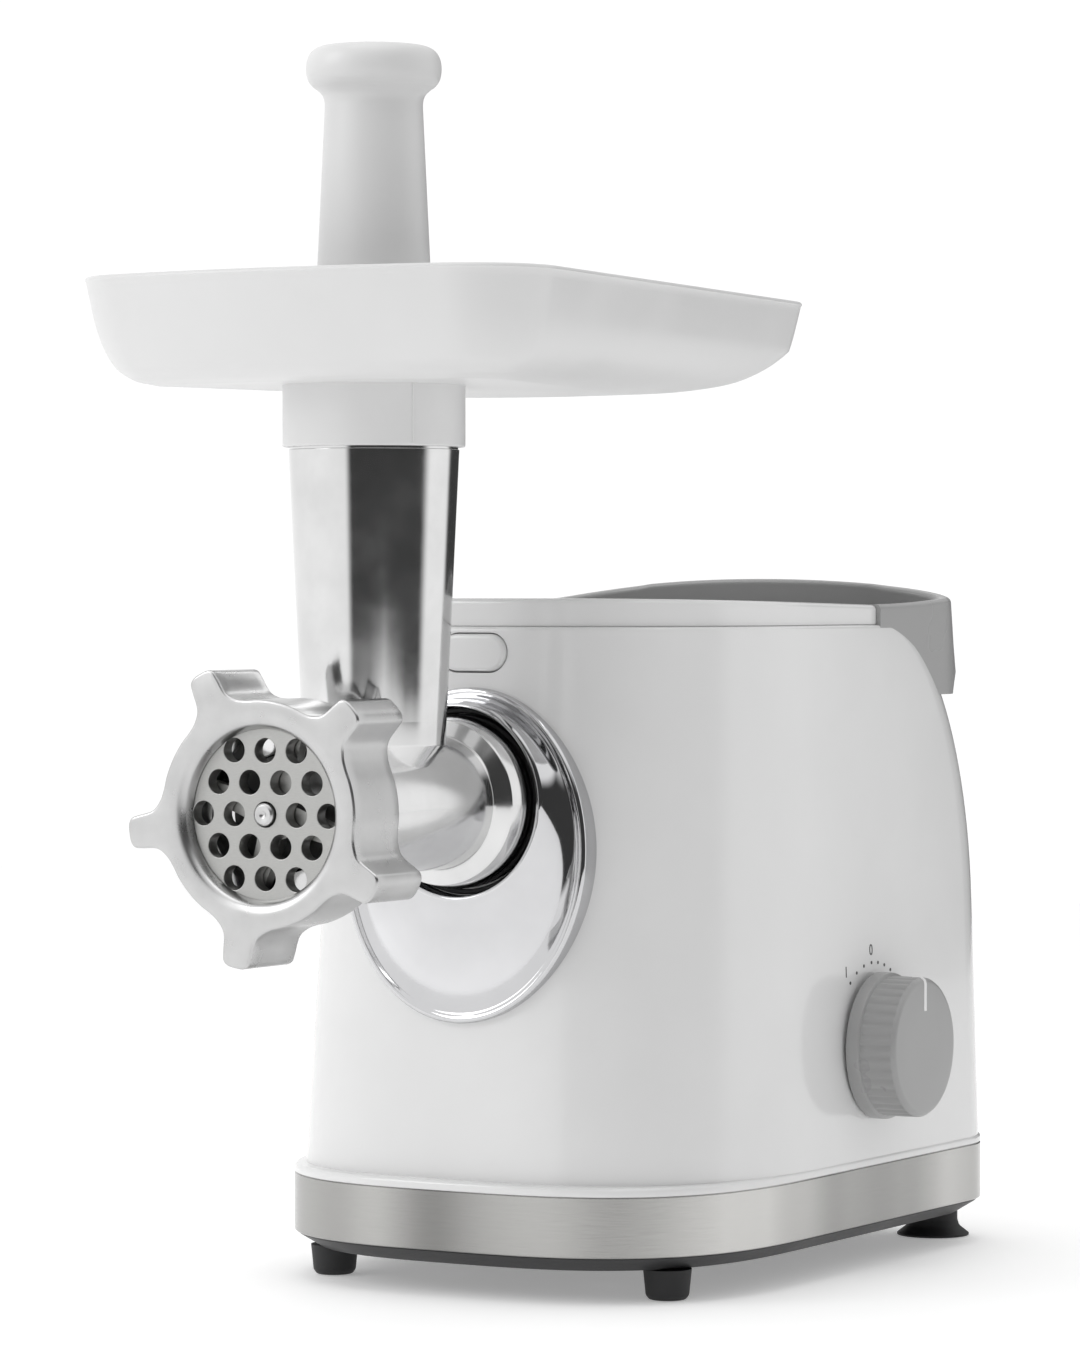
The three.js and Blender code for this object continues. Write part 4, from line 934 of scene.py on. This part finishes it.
DISC = {"radius": 31.0, "thickness": 5, "pitch": 12.0, "hole": 4.0, "middle_hole": 4.2}


def cutting_disc():
    """A bevelled plate with rows of 3, 4, 5, 4 and 3 holes, the middle one a little larger."""
    curve = bpy.data.curves.new("disc", "CURVE")
    curve.dimensions = "2D"
    curve.fill_mode = "BOTH"
    bevel = 0.25
    curve.extrude = (DISC["thickness"] / 2 - bevel) / 1000
    curve.bevel_depth = bevel / 1000
    curve.bevel_resolution = 2
    circles = [(0, 0, DISC["radius"] - bevel, 96)]
    for row in range(-2, 3):
        across = 5 - abs(row)
        for k in range(across):
            x = (k - (across - 1) / 2) * DISC["pitch"]
            z = row * DISC["pitch"] * math.cos(math.pi / 6)
            radius = DISC["middle_hole"] if row == 0 and x == 0 else DISC["hole"]
            circles.append((x, z, radius + bevel, 32))
    for x, z, radius, sides in circles:
        spline = curve.splines.new("POLY")
        spline.points.add(sides - 1)
        for k in range(sides):
            angle = TAU * k / sides
            across, up = x + radius * math.cos(angle), z + radius * math.sin(angle)
            spline.points[k].co = (across / 1000, up / 1000, 0, 1)
        spline.use_cyclic_u = True
    flat = linked("disc_curve", curve)
    mesh = evaluated_mesh(flat)
    bpy.data.objects.remove(flat)
    for vertex in mesh.vertices:
        x, z, y = vertex.co
        vertex.co = place((0, -145.5, HEAD_Z)) + Vector((x, y, z))
    mesh.flip_normals()
    mesh.update()
    finish_piece(linked("disc_plate", mesh), "head", ["cutting_disc"], "blade_steel", sharp=40)


cutting_disc()


def auger():
    """The screw with its square end and shaft, and apart from them the stud in the disc."""
    core, reach, turns = 9.0, 18.9, 3.25
    blade, flank = 0.115, 0.07
    start, end = -40.0, -138.1
    rings = []
    steps = 150
    sides = 60
    for step in range(steps + 1):
        share = step / steps
        y = start + (end - start) * share
        ring = []
        for k in range(sides):
            around = (k / sides + 0.5) % 1 - 0.5
            rise = max(0.0, min(1.0, (blade - abs(around)) / flank))
            rise = rise * rise * (3 - 2 * rise)
            radius = core + (reach - core) * rise
            angle = TAU * (turns * share + k / sides)
            ring.append((radius * math.cos(angle), y, HEAD_Z + radius * math.sin(angle)))
        rings.append(ring)
    stud = rounded(
        [
            (0.3, -148.7, 0), (1.3, -149.4, 0.3), (2.9, -149.6, 0.5), (3.7, -149.0, 0.5),
            (3.7, -136, 0), (0.3, -136, 0),
        ]
    )
    corners = ((4, 4), (-4, 4), (-4, -4), (4, -4))
    square = [[(a, y, HEAD_Z + b) for a, b in corners] for y in (-142.7, -136.1)]
    shaft = [(0.5, -42), (8, -42), (8, -29.3), (0.5, -29.3)]
    axis = (0, 0, HEAD_Z)
    return [loft(rings), loft(square), turned(shaft, "y", axis, 48)], [turned(stud, "y", axis, 48)]


auger_parts, stud_parts = auger()
piece("auger_screw", auger_parts, "output", ["auger"], "cast_aluminium", AUGER_METAL, sharp=40)
piece("auger_stud", stud_parts, "output", ["auger"], "cast_aluminium", RING_METAL, sharp=40)


# ---------------------------------------------------------------- food tray and pusher
TRAY = {
    "bottom": 311.0,
    "rim": 347.0,
    "wall": 2.4,
    "front": -150.0,
    "rear": 139.0,
    "front_half": 88.0,
    "rear_half": 57.0,
    "hole": 26.4,
    "run": 4.2,
    "run_from": 4.0,
}


def tray_ring(z, lean, wall=0.0):
    """The tray's outline. Low down, the rear runs in much further than the other sides."""
    front_bow, rear_bow = 6.0, 4.0
    by = lean + wall
    front_corner = max(30 - by, 12)
    rear_corner = max(20 - wall, 12)
    front_half, rear_half = TRAY["front_half"] - by, TRAY["rear_half"] - by * 0.8
    front_y = TRAY["front"] + by
    rear_y = TRAY["rear"] - by - TRAY["run"] * max(0.0, lean - TRAY["run_from"])
    right = []
    centre_x = front_half - front_corner
    centre_y = front_y + front_bow + front_corner
    arc = []
    for k in range(15):
        angle = -math.pi / 2 + 0.12 + (math.pi / 2 - 0.02) * k / 14
        x, y = front_corner * math.cos(angle), front_corner * math.sin(angle)
        arc.append((centre_x + x, centre_y + y))
    for k in range(14):
        share = k / 14
        right.append((arc[0][0] * share, front_y + (arc[0][1] - front_y) * share**2))
    right += arc
    tail = []
    centre_x = rear_half - rear_corner
    centre_y = rear_y - rear_bow - rear_corner
    for k in range(13):
        angle = 0.1 + (math.pi / 2 - 0.22) * k / 12
        x, y = rear_corner * math.cos(angle), rear_corner * math.sin(angle)
        tail.append((centre_x + x, centre_y + y))
    for k in range(1, 12):
        share = k / 12
        a, b = arc[-1], tail[0]
        right.append((a[0] + (b[0] - a[0]) * share, a[1] + (b[1] - a[1]) * share))
    right += tail
    for k in range(1, 9):
        share = 1 - k / 8
        right.append((tail[-1][0] * share, rear_y + (tail[-1][1] - rear_y) * share**2))
    left = [(-x, y) for x, y in reversed(right[1:-1])]
    return [(x, y, z) for x, y in right + left]


def food_tray():
    wall = smooth_through([(0, 22), (2, 15.5), (7, 9.2), (18, 4), (36, 0)], 7)
    edge = TRAY["wall"] / 2
    rings = [tray_ring(TRAY["bottom"], 26)]
    for rise, by in wall[:-1]:
        rings.append(tray_ring(TRAY["bottom"] + rise, max(by, 0.0)))
    for k in range(7):
        angle = math.pi * k / 6
        z = TRAY["rim"] - edge + edge * math.sin(angle)
        rings.append(tray_ring(z, edge * (1 - math.cos(angle))))
    for k in range(len(wall) - 2, -1, -1):
        rise, by = wall[k]
        up = TRAY["wall"] * (1 - 0.8 * k / (len(wall) - 1))
        rings.append(tray_ring(TRAY["bottom"] + rise + up, by, TRAY["wall"]))
    rings.append(tray_ring(TRAY["bottom"] + TRAY["wall"], 26, 3))
    tray = loose_object("tray", [loft(rings)])
    hole = TRAY["hole"]
    boolean(tray, "DIFFERENCE", [turned([(hole, 300), (hole, 325)], "z", (0, CHUTE_Y, 0), 96)])
    cuff = rounded(
        [
            (28.5, 290.4, 0.4), (30.6, 290.4, 0.7), (30.6, 312.0, 0), (hole, 313.3, 0),
            (hole, 303.3, 0.3), (28.5, 303.3, 0),
        ],
        True,
    )
    ridge_angle = math.radians(57 - 90)
    ridge = []
    for z in (291.0, 311.5):
        row = []
        for radius, turn in ((30.2, -0.022), (30.95, -0.012), (30.95, 0.012), (30.2, 0.022)):
            angle = ridge_angle + turn
            row.append((radius * math.cos(angle), CHUTE_Y + radius * math.sin(angle), z))
        ridge.append(row)
    sleeve = [turned(cuff, "z", (0, CHUTE_Y, 0), 96, closed=True), loft(ridge)]
    collar = loose_object("cuff", sleeve, outward=False)
    moulding = joined("tray_moulding", [tray, collar])
    finish_piece(moulding, "tray", ["food_tray"], "soft_white_plastic", sharp=38)


food_tray()


def food_pusher():
    outer = [
        (23.73, 248.6), (16.45, 403.5), (16.5, 405.5), (17.1, 407.6), (18.6, 409.3),
        (20.6, 410.8), (22.1, 413.0), (22.7, 416.2), (22.3, 419.6), (20.9, 422.2),
        (18.4, 423.8), (15.6, 424.2), (13.2, 424.0), (11.0, 423.4), (5.0, 423.1),
        (0.5, 423.1),
    ]
    curve = [outer[0], *smooth_through(outer[1:], 4)]
    inner = [(0.5, 405), (13.75, 403), (21.1, 249), (21.6, 248.0), (23.2, 248.0)]
    return turned([*curve, *inner], "z", (0, CHUTE_Y, 0), 96, closed=True)


piece("pusher_moulding", [food_pusher()], "pusher", ["food_pusher"], "soft_white_plastic", sharp=50)


# ---------------------------------------------------------------- knob
KNOB_Y, KNOB_Z = 113.0, 79.5
KNOB_RADIUS = 26.2
KNOB_BASE = wall_at(KNOB_Z - KNOB_RADIUS)["half"] + GAP
KNOB_FACE = (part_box("control_knob")[1][0] - ORIGIN.x) * 1000


def control_knob():
    ribs = 38
    sides = ribs * 6
    rib_shape = (0.0, 0.0, 0.12, 0.5, 0.5, 0.12)

    def ring(x, radius, ribbed=0.0):
        row = []
        for k in range(sides):
            angle = TAU * k / sides
            r = radius - ribbed * rib_shape[k % 6]
            row.append((x, KNOB_Y + r * math.cos(angle), KNOB_Z + r * math.sin(angle)))
        return row

    top = KNOB_FACE - 0.3
    rings = [
        ring(KNOB_BASE + 0.1, 23.0),
        ring(KNOB_BASE + 0.1, 25.8),
        ring(KNOB_BASE + 0.4, KNOB_RADIUS),
        ring(KNOB_BASE + 4.2, KNOB_RADIUS),
        ring(KNOB_BASE + 4.8, 26.0),
        ring(KNOB_BASE + 5.1, 25.5),
        ring(KNOB_BASE + 5.3, 25.05, 0.6),
        ring(KNOB_BASE + 5.8, 25.0, 1.0),
        ring(top - 2.4, 24.9, 1.0),
        ring(top - 1.7, 24.85, 0.3),
        ring(top - 1.5, 24.8),
        ring(top - 0.5, 24.1),
        ring(top - 0.1, 23.6),
        ring(top, 22.8),
        ring(top, 12.0),
        ring(top, 1.0),
    ]
    return loft(rings)


piece("knob_cap", [control_knob()], "knob", ["control_knob"], "grey_plastic", sharp=36)


def bar(points, width, lift):
    """A thin raised bar across the knob's face and down its edge, along (x, radius) points."""
    rings = []
    for k, (x, radius) in enumerate(points):
        before = Vector(points[max(0, k - 1)])
        after = Vector(points[min(len(points) - 1, k + 1)])
        along = (after - before).normalized()
        out = Vector((along.y, -along.x))
        ring = []
        for side, up in ((-1, -0.4), (-1, lift), (1, lift), (1, -0.4)):
            y, z = KNOB_Y + side * width / 2, KNOB_Z + radius + out.y * up
            ring.append((x + out.x * up, y, z))
        rings.append(ring)
    return loft(rings)


pointer_line = [
    (KNOB_FACE - 0.3, 13.0),
    (KNOB_FACE - 0.3, 22.6),
    (KNOB_FACE - 0.5, 23.6),
    (KNOB_FACE - 0.9, 24.2),
    (KNOB_FACE - 1.9, 24.85),
    (KNOB_FACE - 5.0, 24.95),
]
piece("knob_pointer", [bar(pointer_line, 2.0, 0.14)], "knob", [], "white_plastic", PRINT_WHITE)


# ---------------------------------------------------------------- dial marks, cord inlet
DOT = {"orbit": 29.6, "radius": 0.6, "angles": (-28, -18, -8, 2, 14, 26, 38)}


def mark_points(radius, angle):
    """A place on the wall round the knob; the angle runs from 12 o'clock towards the front."""
    turn = math.radians(angle)
    return KNOB_Y - radius * math.sin(turn), KNOB_Z + radius * math.cos(turn)


def dial_marks():
    parts = []
    size = DOT["radius"]
    for angle in DOT["angles"]:
        y, z = mark_points(DOT["orbit"], angle)
        rings = []
        for lift in (-0.1, 0.12):
            x = wall_at(z)["half"] + lift
            turns = [TAU * k / 16 for k in range(16)]
            rings.append([(x, y + size * math.cos(a), z + size * math.sin(a)) for a in turns])
        parts.append(loft(rings))
    return parts


piece("dial_dots", dial_marks(), "housing", [], "black_plastic", PRINT_GREY)


def dial_number(name, text, radius, angle):
    curve = bpy.data.curves.new(name, "FONT")
    curve.body = text
    curve.size = 0.0056
    curve.extrude = 0.0001
    curve.align_x = "CENTER"
    curve.align_y = "CENTER"
    source = linked(name + "_source", curve)
    mesh = evaluated_mesh(source)
    bpy.data.objects.remove(source)
    y, z = mark_points(radius, angle)
    centre = place((wall_at(z)["half"], y, z))
    for vertex in mesh.vertices:
        across, up, out = vertex.co
        vertex.co = centre + Vector((out - up * SIDE_TAPER, across, up))
    finish_piece(linked(name, mesh), "housing", [], "black_plastic", PRINT_GREY)


dial_number("dial_zero", "0", 34.0, 2)
dial_number("dial_one", "1", 34.5, 38)

inlet = rounded(
    [
        (3.6, 209, 0), (5.7, 209, 0), (5.7, 221.4, 0), (8, 221.4, 0.4), (7.0, 225, 0.8),
        (3.6, 225, 0.5),
    ],
    True,
)
boot = turned(inlet, "y", (INLET[0], 0, INLET[1]), 48, closed=True)
piece("inlet_boot", [boot], "housing", ["cord_inlet"], "rubber")


# ---------------------------------------------------------------- floor, world and lights
FLOOR = {"reach": 2.1, "below": 0.0002, "glow": 0.28}


def stage_floor():
    """A pale floor with a faint glow of its own, so that it runs into the white behind it."""
    mesh = bpy.data.meshes.new("floor")
    reach = FLOOR["reach"]
    corners = [(-reach, -reach, 0), (reach, -reach, 0), (reach, reach, 0), (-reach, reach, 0)]
    mesh.from_pydata(corners, [], [(0, 1, 2, 3)])
    floor = linked("floor", mesh)
    floor.location.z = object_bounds()[0][2] - FLOOR["below"]
    material = new_material("floor_pale", (0.9, 0.9, 0.9), 0.7)
    vary_color(material, texture(material, 3), (0.89, 0.89, 0.89), (0.91, 0.91, 0.91))
    shader = material.node_tree.nodes["Principled BSDF"]
    shader.inputs["Emission Color"].default_value = (1, 1, 1, 1)
    shader.inputs["Emission Strength"].default_value = FLOOR["glow"]
    mesh.materials.append(material)


stage_floor()


# Angles run from the front (-Y) towards the knob's side (+X), in degrees. "behind" is the angle
# past which the rear is dark low down. White rays are brighter in reflections than in soft light.
CARD = {"from": -4.0, "to": 108.0, "behind": 156.0, "top": 0.62, "diffuse": 0.35, "glossy": 0.95}
STUDIO_WHITE = {"diffuse": 0.76, "glossy": 1.08, "camera": 1.05}


def studio_world():
    """A white studio. A wide dark card, from the front round to the knob's side, and a low one at
    the rear are there for shiny metal to reflect. The camera itself sees plain white."""
    world = bpy.data.worlds.new("studio")
    bpy.context.scene.world = world
    world.use_nodes = True
    nodes = world.node_tree.nodes
    links = world.node_tree.links
    background = nodes["Background"]
    coordinates = nodes.new("ShaderNodeTexCoord")
    split = nodes.new("ShaderNodeSeparateXYZ")
    links.new(coordinates.outputs["Generated"], split.inputs["Vector"])

    def ramp(value, start, end, low=0.0, high=1.0):
        node = nodes.new("ShaderNodeMapRange")
        node.interpolation_type = "SMOOTHSTEP"
        node.inputs["From Min"].default_value = start
        node.inputs["From Max"].default_value = end
        node.inputs["To Min"].default_value = low
        node.inputs["To Max"].default_value = high
        links.new(value, node.inputs["Value"])
        return node.outputs["Result"]

    def combine(operation, first, second):
        node = nodes.new("ShaderNodeMath")
        node.operation = operation
        for socket, value in zip(node.inputs, (first, second)):
            if isinstance(value, float):
                socket.default_value = value
            else:
                links.new(value, socket)
        return node.outputs["Value"]

    heading = nodes.new("ShaderNodeMath")
    heading.operation = "ARCTAN2"
    links.new(split.outputs["X"], heading.inputs[0])
    links.new(combine("MULTIPLY", split.outputs["Y"], -1.0), heading.inputs[1])
    angle = heading.outputs["Value"]
    card = combine(
        "MULTIPLY",
        ramp(angle, math.radians(CARD["from"] - 5), math.radians(CARD["from"] + 5)),
        ramp(angle, math.radians(CARD["to"] + 8), math.radians(CARD["to"] - 8)),
    )
    below_top = ramp(split.outputs["Z"], CARD["top"] + 0.15, CARD["top"] - 0.15)
    card = combine("MULTIPLY", card, below_top)
    around = combine("ABSOLUTE", angle, 0.0)
    behind = combine(
        "MULTIPLY",
        ramp(around, math.radians(CARD["behind"] - 6), math.radians(CARD["behind"] + 6)),
        ramp(split.outputs["Z"], 0.5, 0.3),
    )
    card = combine("MAXIMUM", card, behind)
    light_path = nodes.new("ShaderNodeLightPath")
    glossy = light_path.outputs["Is Glossy Ray"]
    share = ramp(glossy, 0.0, 1.0, CARD["diffuse"], CARD["glossy"])
    shade = combine("SUBTRACT", 1.0, combine("MULTIPLY", card, share))
    level = ramp(glossy, 0.0, 1.0, STUDIO_WHITE["diffuse"], STUDIO_WHITE["glossy"])
    shade = combine("MULTIPLY", shade, level)
    seen = combine("MULTIPLY", light_path.outputs["Is Camera Ray"], STUDIO_WHITE["camera"])
    links.new(combine("MAXIMUM", shade, seen), background.inputs["Color"])


studio_world()


def soft_light(name, at, towards, size, power):
    data = bpy.data.lights.new(name, "AREA")
    data.shape = "RECTANGLE"
    data.size, data.size_y = size
    data.energy = power
    item = linked(name, data)
    item.location = at
    item.rotation_euler = (Vector(towards) - Vector(at)).to_track_quat("-Z", "Y").to_euler()


TARGET = (0, 0, 0.2)
soft_light("key_left", (-1.5, -1.6, 1.4), TARGET, (1.0, 1.4), 13)
soft_light("top", (0, -0.2, 2.2), TARGET, (1.6, 1.6), 9)
